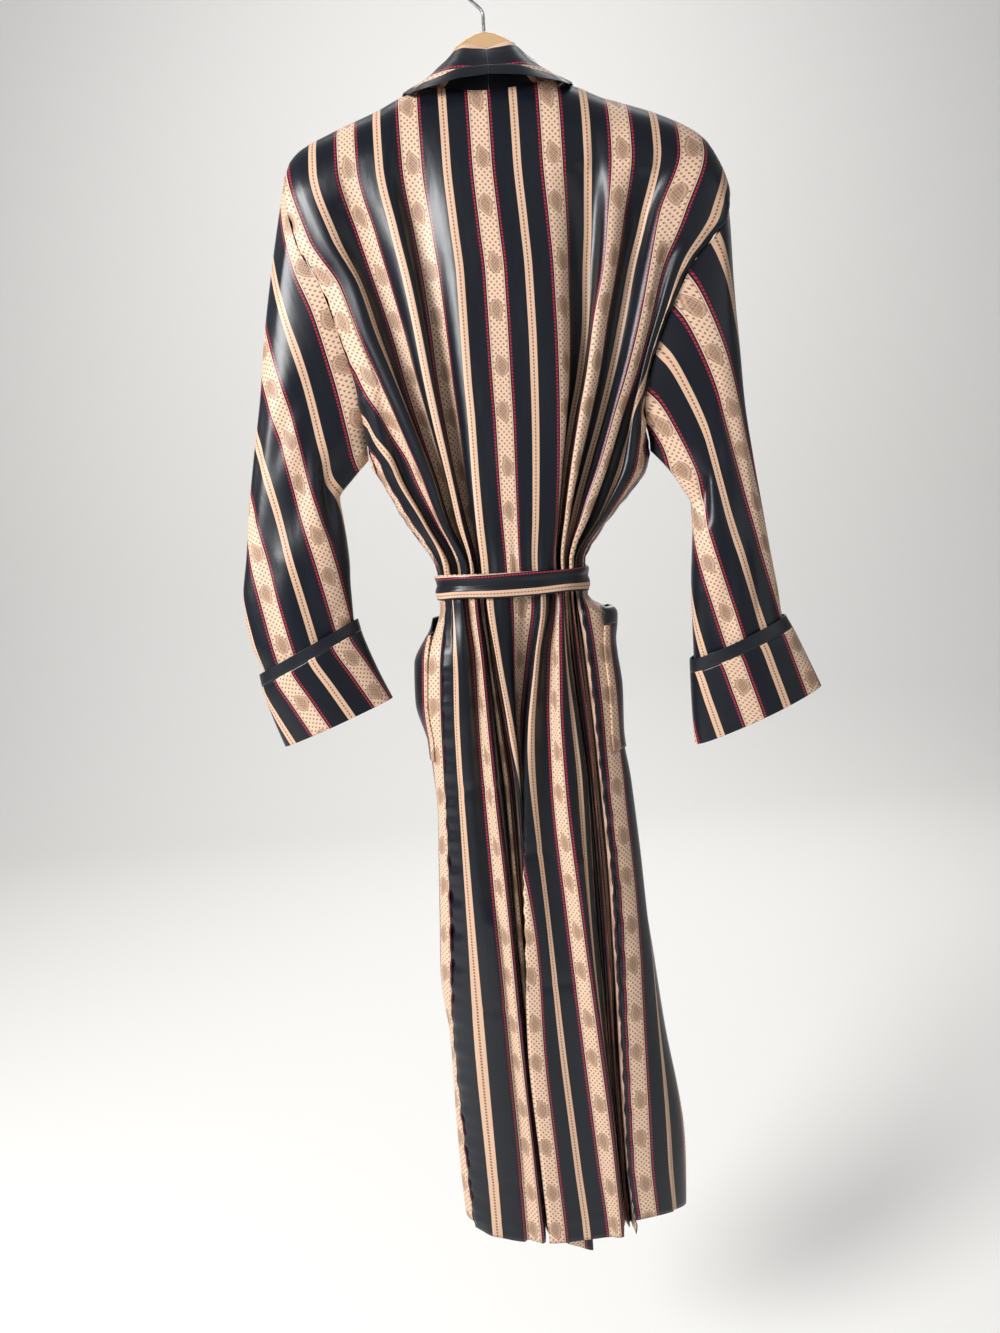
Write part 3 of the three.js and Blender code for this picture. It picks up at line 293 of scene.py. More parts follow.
GIRTH = table(
    "z left right back front edge_back edge_front",
    (-100, -221, 252, -44, 34, -30, 26),
    (-185, -220, 252, -46, 36, -30, 26),
    (-250, -211, 242, -46, 38, -31, 27),
    (-300, -188, 200, -46, 40, -30, 27),
    (-350, -174, 174, -46, 42, -26, 25),
    (-400, -162, 155, -46, 43, -20, 20),
    (-440, -158, 147, -46, 44, -12, 12),
    (-480, -156, 152, -46, 45, 0, 0),
    (-500, -145, 150, -46, 45, 1, 1),
    (-549, -121, 111, -46, 46, 1, 1),
    (-601, -92, 74, -45, 47, 1, 1),
    (-639, -90, 74, -45, 47, 1, 1),
    (-662, -96, 101, -46, 48, 1, 1),
    (-704, -123, 103, -46, 48, 0, 0),
    (-748, -125, 107, -46, 49, 0, 0),
    (-795, -115, 106, -46, 49, 0, 0),
    (-855, -113, 113, -46, 50, 0, 0),
    (-930, -117, 119, -46, 50, 0, 0),
    (-1010, -121, 124, -46, 50, 0, 0),
    (-1075, -124, 131, -46, 50, 0, 0),
    (-1155, -118, 139, -46, 50, 0, 0),
    (-1310, -118, 155, -46, 50, 0, 0),
    (-1480, -114, 149, -46, 50, 0, 0))
RIDGE = table(
    "x z",
    (-222, -177), (-212, -161), (-200, -151), (-168, -137), (-122, -120), (-75, -103), (75, -103),
    (122, -120), (168, -135), (202, -150), (224, -165), (238, -186), (245, -202), (252, -226))
UPPER_LEVELS = (-185, -250, -300, -350, -400, -450, -500, -550, -605)
UPPER_FOLDS = (
    (-292, 0, (-220, -211, -188, -174, -162, -157, -145, -121, -91)),
    (-262, 0.1, (-213, -203, -177, -164, -149, -142, -129, -104, -82)),
    (-236, 1, (-207, -195, -168, -154, -138, -127, -113, -92, -70)),
    (-195, 0, (-199, -182, -157, -143, -126, -108, -90, -77, -58.5)),
    (-156, 1, (-160, -145, -132, -119, -109, -97, -84, -73, -54.5)),
    (-105, 0, (-113, -103, -94, -87, -81, -74, -66, -59, -50.5)),
    (-84, 1, (-95, -88, -82, -78, -75, -70, -64, -55.5, -46.5)),
    (-34, 0, (-46, -43, -40, -40, -40, -39, -39, -38, -36)),
    (60, 0, (47, 50, 52, 52, 51, 49, 46, 42, 37)),
    (112, 1, (99, 97, 93, 90, 82, 69.5, 58.5, 49.5, 41)),
    (138, 0, (123, 116, 109, 96, 86, 74, 63, 53.5, 45)),
    (180, 1, (166, 151, 136, 124, 111, 96, 79, 63, 49.5)),
    (212, 0, (196, 171, 159, 147, 132, 114, 96, 75, 55)),
    (245, 1, (219, 196, 172, 157, 142, 127, 110, 88, 60.5)),
    (275, 0.1, (236, 216, 185, 166, 149, 137, 129, 101, 67)),
    (310, 0, (252, 242, 200, 174, 155, 148, 150, 111, 73.5)))
SKIRT_LEVELS = (-637, -700, -780, -850, -1000, -1150, -1300, -1400)
SKIRT_FOLDS = (
    (-292, -292, 0, 0, (-84, -92, -97, -99, -104, -111, -107, -104)),
    (-246, -246, 0, 0, (-68, -67, -70, -71, -69, -66, -64, -63)),
    (-231, -231, 1, 1, (-61, -57, -58, -57, -54, -50, -46, -45)),
    (-206, -206, 0, 0, (-49, -46, -44, -42, -36, -32, -26, -23)),
    (-178, -178, 1, 1, (-46, -43, -39.5, -37, -32.5, -29, -23.5, -20)),
    (-146, -146, 0.5, 0.5, (-43, -39.5, -34, -30, -28, -25, -19.5, -16)),
    (-85, -100, 1, 1, (-40, -36, -29, -24, -21.5, -19, -14, -10.5)),
    (-38, -62, 0, 1, (-37, -32.5, -23, -17, -16.5, -14, -10, -7)),
    (16, -30, 1, 1, (16, 6.5, -6, -12, -12.5, -9.5, -6, -3)),
    (33, -9, 0, 0, (20.5, 9.5, -3, -11.5, -21.5, -27, -21, -17)),
    (60, 60, 0.8, 0.3, (35, 25, 19, 18, 25, 34, 44, 51)),
    (86, 86, 0, 0, (42, 39, 36, 37, 46, 57, 67, 70.5)),
    (116, 116, 0.25, 0.4, (46.5, 47, 52, 56, 57, 62, 69.5, 73)),
    (165, 165, 1, 1, (50, 52, 58, 63, 66, 68, 72, 76)),
    (205, 205, 0.5, 0.5, (54, 57, 63, 66.5, 71, 72, 74.7, 79)),
    (255, 255, 1, 1, (59, 63, 68, 70.5, 75.5, 76, 77.4, 82)),
    (310, 310, 0, 0, (65, 71, 76, 78, 84, 82, 80.5, 86)))
SIDES = table(
    "z seam_left seam_right round_left round_right",
    (-150, -210, 262, 4, 4),
    (-250, -223, 266, 4, 4),
    (-350, -229, 266, 4, 4),
    (-400, -236, 270, 4, 4),
    (-450, -268, 294, 4, 4),
    (-490, -292, 310, 5, 5),
    (-637, -292, 310, 8, 10),
    (-662, -292, 310, 14, 32),
    (-700, -292, 310, 32, 34),
    (-850, -292, 310, 22, 40),
    (-1000, -292, 310, 24, 48),
    (-1150, -292, 310, 16, 66),
    (-1300, -292, 310, 18, 88),
    (-1480, -292, 310, 18, 80))
SIDE_CLOTH = {"left": -292.0, "right": 310.0}
BELT_TOP, BELT_LOW, WAIST = -608.0, -634.0, -605.0
HEM = -1393.0
BACK_ROOM, SHOULDER_ROLL = 30.0, 60.0
NECK_HALF, NECK_DEPTH, NECK_DIP = 75.0, 30.0, 15.0
PACKED_FOLDS = (
    (-846, 1.5, 280, -150), (-921, 1.2, 60, 60), (-936, -1.0, -60, 120), (-1078, 1.3, 20, 100),
    (-1102, 1.4, 280, -180), (-1318, 1.2, 280, -200))
DRAWN_FROM, DRAWN_CLOSER = -246.0, 0.38


def mix(a, b, t):
    return a + (b - a) * t


def ease(t):
    t = np.clip(t, 0, 1)
    return t * t * (3 - 2 * t)


def bell(t):
    return np.exp(-t * t)


def smooth(keys, values, at):
    """A smooth curve through rows of a table that never overshoots: a cubic
    from row to row whose slope at a row is the harmonic mean of the slopes on
    both sides of it, or nought where the table turns back."""
    keys, values, at = (np.asarray(v, float) for v in (keys, values, at))
    if keys[0] > keys[-1]:
        keys, values = keys[::-1], values[::-1]
    step = np.diff(keys)
    slope = np.diff(values) / step
    before, after = slope[:-1], slope[1:]
    same = before * after > 0
    tangent = np.zeros(len(keys))
    tangent[1:-1] = np.where(same, 2 * before * after / np.where(same, before + after, 1), 0)
    at = np.clip(at, keys[0], keys[-1])
    k = np.clip(np.searchsorted(keys, at) - 1, 0, len(step) - 1)
    t = (at - keys[k]) / step[k]
    t2, t3 = t * t, t * t * t
    return (values[k] * (2 * t3 - 3 * t2 + 1) + values[k + 1] * (3 * t2 - 2 * t3)
            + tangent[k] * step[k] * (t3 - 2 * t2 + t) + tangent[k + 1] * step[k] * (t3 - t2))


def fold_curves():
    """The profile of cloth from a crest to a valley for every share of its own
    width that it covers, 0 to 1 in hundredths: how far it has run and risen
    along its way, and its whole height. Its lean grows to the middle and
    fades again, and grows as a whole until the cloth covers that share."""
    steps, steepest = 24, 1.5
    middle = (np.arange(steps) + 0.5) / steps
    runs, rises, heights = [], [], []
    for mark in range(101):
        low, high = 0.0, 3.0
        for _ in range(24):
            lean = (low + high) / 2
            spread = 1 + 12 * max(0, lean - steepest)
            angle = min(lean, steepest) * np.minimum(1, spread * np.sin(np.pi * middle))
            run = np.append(0, np.cumsum(np.cos(angle))) / steps
            if run[-1] > mark / 100:
                low = lean
            else:
                high = lean
        rise = np.append(0, np.cumsum(np.sin(angle))) / steps
        runs.append(run / run[-1])
        rises.append(rise / max(rise[-1], 1e-6))
        heights.append(rise[-1])
    return np.array(runs), np.array(rises), np.array(heights)


RUNS, RISES, HEIGHTS = fold_curves()


def curve_at(curves, mark, t):
    """Value of a profile between two marks and two steps."""
    m = np.clip(np.floor(mark).astype(int), 0, 99)
    place = np.clip(t, 0, 1) * 24
    s = np.clip(np.floor(place).astype(int), 0, 23)
    low = mix(curves[m, s], curves[m, s + 1], place - s)
    high = mix(curves[m + 1, s], curves[m + 1, s + 1], place - s)
    return mix(low, high, mark - m)


def fold_place(cloth_marks, along_marks, recess, room, cloth):
    """Where a point of the cloth lies along the section and how deep, from the
    section's fold lines: one row a line, one column a point. A valley is as
    deep as the cloth on both sides of it asks, within the room."""
    width = np.diff(cloth_marks, axis=0)
    mark = np.clip(np.abs(np.diff(along_marks, axis=0)) / width, 0, 1) * 100
    height = np.interp(mark, np.arange(101), HEIGHTS) * width
    before = np.concatenate((height[:1], height))
    after = np.concatenate((height, height[-1:]))
    depth = recess * np.minimum(room, (before + after) / 2)
    k = np.clip((cloth > cloth_marks[1:-1]).sum(0), 0, len(width) - 1)[None]
    pick = lambda rows: np.take_along_axis(rows, k, 0)[0]
    t = (cloth - pick(cloth_marks)) / pick(width)
    mark = pick(mark)
    along = mix(pick(along_marks), pick(along_marks[1:]), curve_at(RUNS, mark, t))
    return along, mix(pick(depth), pick(depth[1:]), curve_at(RISES, mark, t))


def girth_at(z):
    row = {name: smooth(GIRTH["z"], GIRTH[name], z) for name in GIRTH if name != "z"}
    row["middle"] = (row["left"] + row["right"]) / 2
    row["half"] = (row["right"] - row["left"]) / 2
    return row


def girth_y(girth, x, behind):
    reach = np.minimum(1, np.abs(x - girth["middle"]) / girth["half"])
    swell = np.sqrt(np.maximum(0, 1 - reach ** 3))
    back = mix(girth["edge_back"], girth["back"], swell)
    return np.where(behind, back, mix(girth["edge_front"], girth["front"], swell))


def ridge_z(x):
    return smooth(RIDGE["x"], RIDGE["z"], x)


def shoulder_roll(x, z):
    fall = np.clip((ridge_z(x) - z) / SHOULDER_ROLL, 0, 1)
    return np.sqrt(1 - (1 - fall) ** 2)


def settled(x, z):
    return ease((ridge_z(x) - z - 15) / 110)


def neck_depth(x):
    return NECK_DEPTH * np.sqrt(np.maximum(0, 1 - (x / NECK_HALF) ** 2))


def neck_z(x):
    dip = NECK_DIP * np.cos(np.pi * x / (2 * NECK_HALF))
    return ridge_z(x) - np.where(np.abs(x) < NECK_HALF, dip, 0)


def squeeze(cloth, z):
    """The back's cloth is narrower at the armholes than at the side seams."""
    left = mix(-195, smooth(SIDES["z"], SIDES["seam_left"], z), (cloth + 195) / (-292 + 195))
    right_side = mix(212, smooth(SIDES["z"], SIDES["seam_right"], z), (cloth - 212) / (310 - 212))
    return np.where(cloth < -195, left, np.where(cloth > 212, right_side, cloth))


def back_part(folds, levels, cloth, z):
    """Points of the back by one of its two tables of folds."""
    sunk = ease((z + 760) / (-1100 + 760))
    marks, along_marks, recess = [], [], []
    for fold in folds:
        top, low, deep, deeper = fold[:4] if len(fold) == 5 else (fold[0], fold[0], fold[1], fold[1])
        marks.append(squeeze(mix(top, low, sunk), z))
        along_marks.append(smooth(levels, fold[-1], z))
        recess.append(mix(deep, deeper, sunk))
    lines = [np.array(rows) for rows in (marks, along_marks, recess)]
    x, depth = fold_place(*lines, BACK_ROOM, squeeze(cloth, z))
    girth = girth_at(z)
    reach = np.minimum(1, np.abs(x - girth["middle"]) / girth["half"])
    depth = depth * mix(1, 0.4, reach ** 3) * settled(x, z)
    floor = neck_depth(x)
    out = girth_y(girth, x, True) + depth
    return np.stack((x, -floor + (out + floor) * shoulder_roll(x, z), z), -1)


def back_points(cloth, z):
    """Points of the back: the upper table, the lower one, and under the belt
    a passage from one to the other."""
    cloth, z = (v.ravel() for v in np.broadcast_arrays(np.asarray(cloth, float), np.asarray(z, float)))
    under = ease((z - BELT_TOP) / (BELT_LOW - BELT_TOP))[:, None]
    upper = back_part(UPPER_FOLDS, UPPER_LEVELS, cloth, z)
    return mix(upper, back_part(SKIRT_FOLDS, SKIRT_LEVELS, cloth, z), under)


def top_levels(points_at, edge_z, columns):
    """Level at which each column of the cloth meets its upper edge."""
    z = np.full(len(columns), -150.0)
    for _ in range(8):
        z = edge_z(points_at(columns, z)[:, 0])
    return z


def row_levels(top, hem, upper_rows, skirt_rows):
    """Levels of a grid's points, a row for each column of the cloth: close
    together at the shoulder and even further down."""
    upper = (np.arange(upper_rows) / upper_rows) ** 1.7
    skirt = np.linspace(0, 1, skirt_rows)
    return np.concatenate((mix(top[:, None], WAIST, upper), mix(WAIST, hem[:, None], skirt)), 1)


def normals_of(grid, closed=False):
    """Unit normals of a grid of points, from its neighbours."""
    across = np.roll(grid, -1, 0) - np.roll(grid, 1, 0)
    if not closed:
        across[0] = grid[1] - grid[0]
        across[-1] = grid[-1] - grid[-2]
    normal = np.cross(across, np.gradient(grid, axis=1))
    return normal / np.maximum(np.linalg.norm(normal, axis=-1, keepdims=True), 1e-9)


def sheet_object(name, grid, uv, material, closed=False, flip=False, thick=0.7):
    """A thin cloth piece from a grid of points in millimetres, with its place
    in the cloth as a texture map, and half its thickness on both sides."""
    columns, rows = grid.shape[:2]
    points = (grid.reshape(-1, 3) - (0, 0, HOOK_RISE)) / 1000
    spans = columns if closed else columns - 1
    i, j = (v.ravel() for v in np.meshgrid(np.arange(spans), np.arange(rows - 1), indexing="ij"))
    corner = lambda a, b: ((i + a) % columns) * rows + j + b
    order = [(0, 0), (1, 0), (1, 1), (0, 1)]
    order = order if flip else order[::-1]
    faces = np.stack([corner(a, b) for a, b in order], -1)
    place = np.stack([np.stack((uv[0][i + a, j + b], uv[1][i + a, j + b]), -1) for a, b in order], 1)
    mesh = bpy.data.meshes.new(name)
    mesh.vertices.add(len(points))
    mesh.vertices.foreach_set("co", points.ravel())
    mesh.loops.add(faces.size)
    mesh.loops.foreach_set("vertex_index", faces.ravel())
    mesh.polygons.add(len(faces))
    mesh.polygons.foreach_set("loop_start", np.arange(0, faces.size, 4))
    mesh.update(calc_edges=True)
    layer = mesh.uv_layers.new(name="cloth")
    layer.data.foreach_set("uv", (place / 1000).ravel())
    mesh.polygons.foreach_set("use_smooth", np.ones(len(faces), bool))
    mesh.materials.append(material)
    piece = bpy.data.objects.new(name, mesh)
    bpy.context.scene.collection.objects.link(piece)
    solid = piece.modifiers.new("thickness", "SOLIDIFY")
    solid.thickness = thick / 1000
    solid.offset = 0
    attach(piece, "root")
    return piece


def cut_sheet(piece, cut=None):
    """Reads a piece's texture map where no grids of its flat cut are given, and
    does nothing further with it. The grids, true places across and along in
    millimetres, are given where stripes are drawn closer than they lie in the
    cloth; nothing is done with them either."""
    if cut is None:
        place = np.empty(len(piece.data.loops) * 2)
        piece.data.uv_layers["cloth"].data.foreach_get("uv", place)


def across_arc(grid):
    """Length of the cloth along each level, from the first column on."""
    step = np.linalg.norm(np.diff(grid[..., :2], axis=0), axis=-1)
    return np.concatenate((np.zeros((1, grid.shape[1])), np.cumsum(step, 0)))


def back_wrinkles(cloth, z):
    """Small unevenness of the back in millimetres: gathers by the belt, faint
    folds left from packing, puckers beside the seams, and slow waves."""
    gather = 1.5 * np.sin(cloth / 2.9 + 0.6 * np.sin(cloth / 31)) + 1.1 * np.sin(cloth / 5.3 + 2)
    gather = bell((z + 621) / 46) * gather
    packed = sum(d * bell((z - level) / 5) * ease((cloth + a) / 30) * ease((b - cloth) / 30)
                 for level, d, a, b in PACKED_FOLDS)
    beside = bell((cloth - SIDE_CLOTH["left"]) / 16) + bell((cloth - SIDE_CLOTH["right"]) / 16)
    pucker = beside * (0.8 * np.sin(z / 6.5) + 0.7 * np.sin(z / 3.1 + 1))
    slow = 0.9 * np.sin(z / 46 + cloth / 35) * np.sin(cloth / 24 + z / 210) * ease((-150 - z) / 60)
    hem = 0.8 * bell((z - HEM - 25) / 3) + 0.7 * bell((z - HEM - 12) / 11) * np.sin(cloth / 5.5)
    return gather + packed + pucker + slow - hem


cloth = np.linspace(SIDE_CLOTH["left"], SIDE_CLOTH["right"], 171)
top = top_levels(back_points, neck_z, cloth)
hem = HEM + 0.0007 * (back_points(cloth, HEM)[:, 0] - 25) ** 2
z = row_levels(top, hem, 92, 158)
u = np.broadcast_to(cloth[:, None], z.shape)
grid = back_points(u, z).reshape(*z.shape, 3)
grid = grid + normals_of(grid) * back_wrinkles(u, z)[..., None] * ease((top[:, None] - z) / 40)[..., None]
# Stripes beside the left seam are drawn closer from the waist down.
true_place = squeeze(u, z)
place = true_place - DRAWN_CLOSER * np.minimum(0, true_place - DRAWN_FROM) * ease((-560 - z) / 60)
back = sheet_object("robe_back", grid, (place, -z), STRIPED)
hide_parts("back")
cut_sheet(back, (true_place, -z))


# Fronts
# Two panels that start at the side seams, a strip of each showing from behind,
# pass round the sides and lap over in front, the left one outside.
OPENING = table(
    "z left right", (-103, -75, 75), (-600, 54, -32), (-650, 56, -30), (-1100, 52, -26), (-1480, 40, -24))
FRONT_FOLDS = table(
    "share recess", (0, 0), (0.12, 0.2), (0.25, 0), (0.34, 1), (0.43, 0), (0.51, 1), (0.59, 0),
    (0.69, 0.25), (0.79, 0), (0.9, 0.2), (1, 0))
FRONT_ROOM, FRONT_CLOTH, WRAP_DROP = 20.0, 325.0, 12.0
UNDERARM = {"left": -476.0, "right": -486.0}
POCKET_TOP, POCKET_LOW, POCKET_BAND = -655.0, -815.0, 18.0
STRIPE_FROM_SEAM = {"left": 12.0, "right": 17.0}


def angle_at(girth, x, facing):
    """Place on the girth curve: 0 at the right side, a half turn at the left."""
    reach = np.clip((x - girth["middle"]) / girth["half"], -1, 1)
    return facing * np.arccos(np.sign(reach) * np.abs(reach) ** 1.5)


def girth_point(girth, z, angle):
    c = np.cos(angle)
    x = girth["middle"] + girth["half"] * np.sign(c) * np.abs(c) ** (2 / 3)
    behind = (angle < 0) | (angle > np.pi)
    return x, girth_y(girth, x, behind) * shoulder_roll(x, z)


def front_angle(side, share, z, girth):
    """Angle of a share of the front: from the side seam, which lies behind,
    to the side itself, and on to the free edge."""
    left = side == "left"
    turn = np.pi if left else 0.0
    seam_x = back_points(np.full(len(z), SIDE_CLOTH[side]), z)[:, 0]
    seam = angle_at(girth, seam_x, -1) + (2 * np.pi if left else 0)
    seam = np.where(z > UNDERARM[side], turn, seam)
    around = smooth(SIDES["z"], SIDES["round_" + side], z) / FRONT_CLOTH
    edge = angle_at(girth, smooth(OPENING["z"], OPENING[side], z), 1)
    behind = mix(seam, turn, share / around)
    return np.where(share < around, behind, mix(turn, edge, (share - around) / (1 - around)))


def wrap_drop(side, x, y, z):
    """How far the right front lies inside the left one where they lap."""
    if side == "left":
        return 0 * x
    return WRAP_DROP * ease((z + 330) / -90) * ease((112 - x) / 40) * ease(y / 25)


def pocket_hold(z):
    return ease((BELT_LOW - z) / 22) * ease((z - POCKET_LOW + 60) / 55)


def front_points(side, share, z):
    """Points of a front by the share of its width and by level."""
    share, z = (v.ravel() for v in np.broadcast_arrays(np.asarray(share, float), np.asarray(z, float)))
    girth = girth_at(z)
    spot = lambda part: np.stack(girth_point(girth, z, front_angle(side, part, z, girth)), -1)
    marks = np.stack([spot(np.full(len(z), s)) for s in FRONT_FOLDS["share"]])
    steps = np.linalg.norm(np.diff(marks, axis=0), axis=-1)
    along_marks = np.concatenate((np.zeros((1, len(z))), np.cumsum(steps, 0)))
    width = mix(150, FRONT_CLOTH, ease((z + 150) / -420))
    cloth_marks = FRONT_FOLDS["share"][:, None] * width
    recess = np.repeat(FRONT_FOLDS["recess"][:, None], len(z), 1)
    _, depth = fold_place(cloth_marks, along_marks, recess, FRONT_ROOM, share * width)
    here, near, far = spot(share), spot(np.minimum(1, share + 0.01)), spot(np.maximum(0, share - 0.01))
    way = near - far
    inward = np.stack((way[:, 1], -way[:, 0]), -1) / np.maximum(np.linalg.norm(way, axis=1), 1e-9)[:, None]
    if side == "right":
        inward = -inward
    depth = depth * settled(here[:, 0], z) * (1 - 0.75 * pocket_hold(z))
    drop = wrap_drop(side, here[:, 0], here[:, 1], z)
    return np.stack((here[:, 0] + inward[:, 0] * depth, here[:, 1] + inward[:, 1] * depth - drop, z), -1)


def front_hem(side, share):
    strip = HEM + 20 * (1 - ease(share / 0.5))
    if side == "right":
        return strip
    return strip - 40 * ease((share - 0.3) / 0.5) - 44 * ease((share - 0.85) / 0.15)


def front_cloth(side, grid):
    """Place across the front's cloth: its length from the side seam, or from
    the armhole, which is cut into its width."""
    arm = 60 * ease((grid[:1, :, 2] + 480) / 80)
    return across_arc(grid) + arm - STRIPE_FROM_SEAM[side]


def front_wrinkles(cloth, z):
    """Gathers by the belt, puckers along the side seam, and slow waves."""
    gather = bell((z + 621) / 44) * (1.4 * np.sin(cloth / 3.1) + 1.0 * np.sin(cloth / 5.9 + 1))
    pucker = bell((cloth + 14) / 14) * (0.9 * np.sin(z / 7.1 + 0.4) + 0.7 * np.sin(z / 3.3))
    slow = 1.0 * np.sin(z / 52 + cloth / 33) * np.sin(cloth / 26 - z / 190) * ease((-150 - z) / 60)
    return gather + pucker + slow


for side in ("left", "right"):
    share = np.linspace(0, 1, 116) ** 1.12
    top = top_levels(lambda s, level: front_points(side, s, level), ridge_z, share)
    z = row_levels(top, front_hem(side, share), 80, 150)
    s = np.broadcast_to(share[:, None], z.shape)
    grid = front_points(side, s, z).reshape(*z.shape, 3)
    u = front_cloth(side, grid)
    out = normals_of(grid) * (1 if side == "left" else -1)
    lift = front_wrinkles(u, z) * ease((top[:, None] - z) / 40) * (1 - pocket_hold(z))
    grid = grid + out * lift[..., None]
    piece = sheet_object(f"robe_front_{side}", grid, (u, -z), STRIPED, flip=side == "right")
    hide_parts(f"front_{side}")
    cut_sheet(piece)


# Patch pockets
# Squares of the same cloth on the fronts with matched stripes, each with a
# plain band across its mouth, which stands a little open.
for side in ("left", "right"):
    for name, highest, lowest, rows, material in (
            ("pocket", POCKET_TOP - POCKET_BAND - 0.6, POCKET_LOW, 40, STRIPED),
            ("pocket_band", POCKET_TOP, POCKET_TOP - POCKET_BAND, 8, PLAIN)):
        share = np.linspace(0, 150, 67) / FRONT_CLOTH
        z = np.broadcast_to(np.linspace(highest, lowest, rows), (67, rows))
        s = np.broadcast_to(share[:, None], z.shape)
        grid = front_points(side, s, z).reshape(*z.shape, 3)
        u = front_cloth(side, grid)
        beside = share * FRONT_CLOTH > 8.9
        grid, u, s, z = grid[beside], u[beside], s[beside], z[beside]
        out = normals_of(grid) * (1 if side == "left" else -1)
        gape = 5 * ease((z + 700) / 45)
        around = grid * (1, 1, 0)
        around = around / np.linalg.norm(around, axis=-1, keepdims=True)
        swell = 1.7 + 0.5 * bell((z + 690) / 9) * np.sin(s * 55)
        grid = grid + out * swell[..., None] + around * gape[..., None]
        piece = sheet_object(f"robe_{name}_{side}", grid, (u, -z), material, flip=side == "right", thick=1.0)
        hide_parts(f"{name}_{side}")
        cut_sheet(piece)


# Sleeves
# Wide set-in sleeves, pulled down by their cuffs and flattened, with slanting
# folds from the armhole. Sewn round the armhole to back and front.
SLEEVES = {
    "left": table(
        "ox oz ix iz half",
        (-235, -226, -168, -487, 31), (-248, -284, -182, -501, 31), (-259, -342, -193, -516, 31),
        (-269, -402, -191, -538, 30), (-282, -464, -189, -562, 29), (-293, -521, -188, -587, 28),
        (-301, -572, -189, -611, 27), (-309, -622, -189, -633, 26), (-306, -665, -189, -654, 25),
        (-292, -708, -184, -683, 24), (-276, -781, -157.5, -737.5, 25)),
    "right": table(
        "ox oz ix iz half",
        (254, -276, 164, -497, 31), (253, -326, 177, -512, 31), (256, -382, 187, -529, 31),
        (259, -438, 197, -550, 30), (266, -496, 197, -575, 29), (274, -550, 195, -600, 28),
        (282, -603, 193, -626, 27), (289, -648, 192, -657, 26), (293, -679, 192, -694, 25),
        (303, -711, 192, -741, 24), (329.5, -758, 191.5, -814.5, 25))}
SHOULDER_TIP = {"left": -177.0, "right": -226.0}
ARMHOLE_GAP = {"left": -1.1, "right": 1.8}
SLEEVE_FOLDS = (
    (0.36, 0.22, 0.02, 0.62, 9, 0.06), (0.42, 0.38, 0.1, 0.5, 10, 0.045), (0.2, 0.12, 0.25, 0.85, 5, 0.06),
    (0.62, 0.7, 0.05, 0.6, 9, 0.06), (0.8, 0.86, 0.3, 0.85, 6, 0.06))
FINE_SLEEVE_FOLDS = (
    (0.3, 0.12, 0.12, 0.5, 3, 0.03), (0.27, 0.33, 0.55, 0.95, 3, 0.035), (0.14, 0.2, 0.6, 0.98, 3, 0.04),
    (0.4, 0.3, 0.7, 1.05, 3.5, 0.035), (0.1, 0.05, 0.3, 0.7, 2.5, 0.03), (0.7, 0.78, 0.5, 0.95, 3, 0.04),
    (0.9, 0.84, 0.1, 0.5, 2.5, 0.04), (0.56, 0.6, 0.5, 0.98, 3, 0.04))
STRIPE_TILT = {"left": math.radians(12), "right": math.radians(15)}
STRIPE_START = {"left": 37.0, "right": 30.0}


def section_at(sections, place):
    """A sleeve's or cuff's section at a place along it, 0 to 1."""
    keys = np.linspace(0, 1, len(sections["ox"]))
    return {name: smooth(keys, sections[name], place) for name in sections}


def loop_points(section, turn, grow=0.0):
    """Points round a section, from the outer silhouette over the back to the
    inner one and home in front."""
    angle = 2 * np.pi * turn
    across_x, across_z = section["ox"] - section["ix"], section["oz"] - section["iz"]
    length = np.hypot(across_x, across_z)
    reach = (length / 2 + grow) * np.cos(angle) / length
    return np.stack((
        (section["ox"] + section["ix"]) / 2 + across_x * reach,
        -(section["half"] + grow) * np.sin(angle),
        (section["oz"] + section["iz"]) / 2 + across_z * reach), -1)


def fold_depth(folds, turn, run):
    """Depth of long soft folds that wander round the sleeve on their way."""
    depth = 0 * turn
    for turn_top, turn_low, start, end, deep, width in folds:
        along = np.clip((run - start) / (end - start), 0, 1)
        off = (turn - mix(turn_top, turn_low, along)) / width
        depth = depth + deep * np.sin(np.pi * along) * bell(off)
    return depth


def armhole_points(side, turn):
    over = (1 - np.cos(2 * np.pi * turn)) / 2
    z = mix(SHOULDER_TIP[side], UNDERARM[side], over)
    girth = girth_at(z)
    x = girth[side]
    y = np.where(turn < 0.5, girth["edge_back"], girth["edge_front"])
    shut = np.minimum(1, np.sin(np.pi * over) * 2.2)
    return np.stack((x + ARMHOLE_GAP[side], y * shoulder_roll(x, z) * shut, z), -1)


def tube_place(grid):
    """Place in the cloth of a closed grid: the length round each section from
    the first column, where its seam is, and the length down each column."""
    ring = np.concatenate((grid, grid[:1]))
    step = np.linalg.norm(np.diff(ring, axis=0), axis=-1)
    drop = np.linalg.norm(np.diff(ring, axis=1), axis=-1)
    round_it = np.concatenate((np.zeros((1, ring.shape[1])), np.cumsum(step, 0)))
    return round_it, np.concatenate((np.zeros((len(ring), 1)), np.cumsum(drop, 1)), 1)


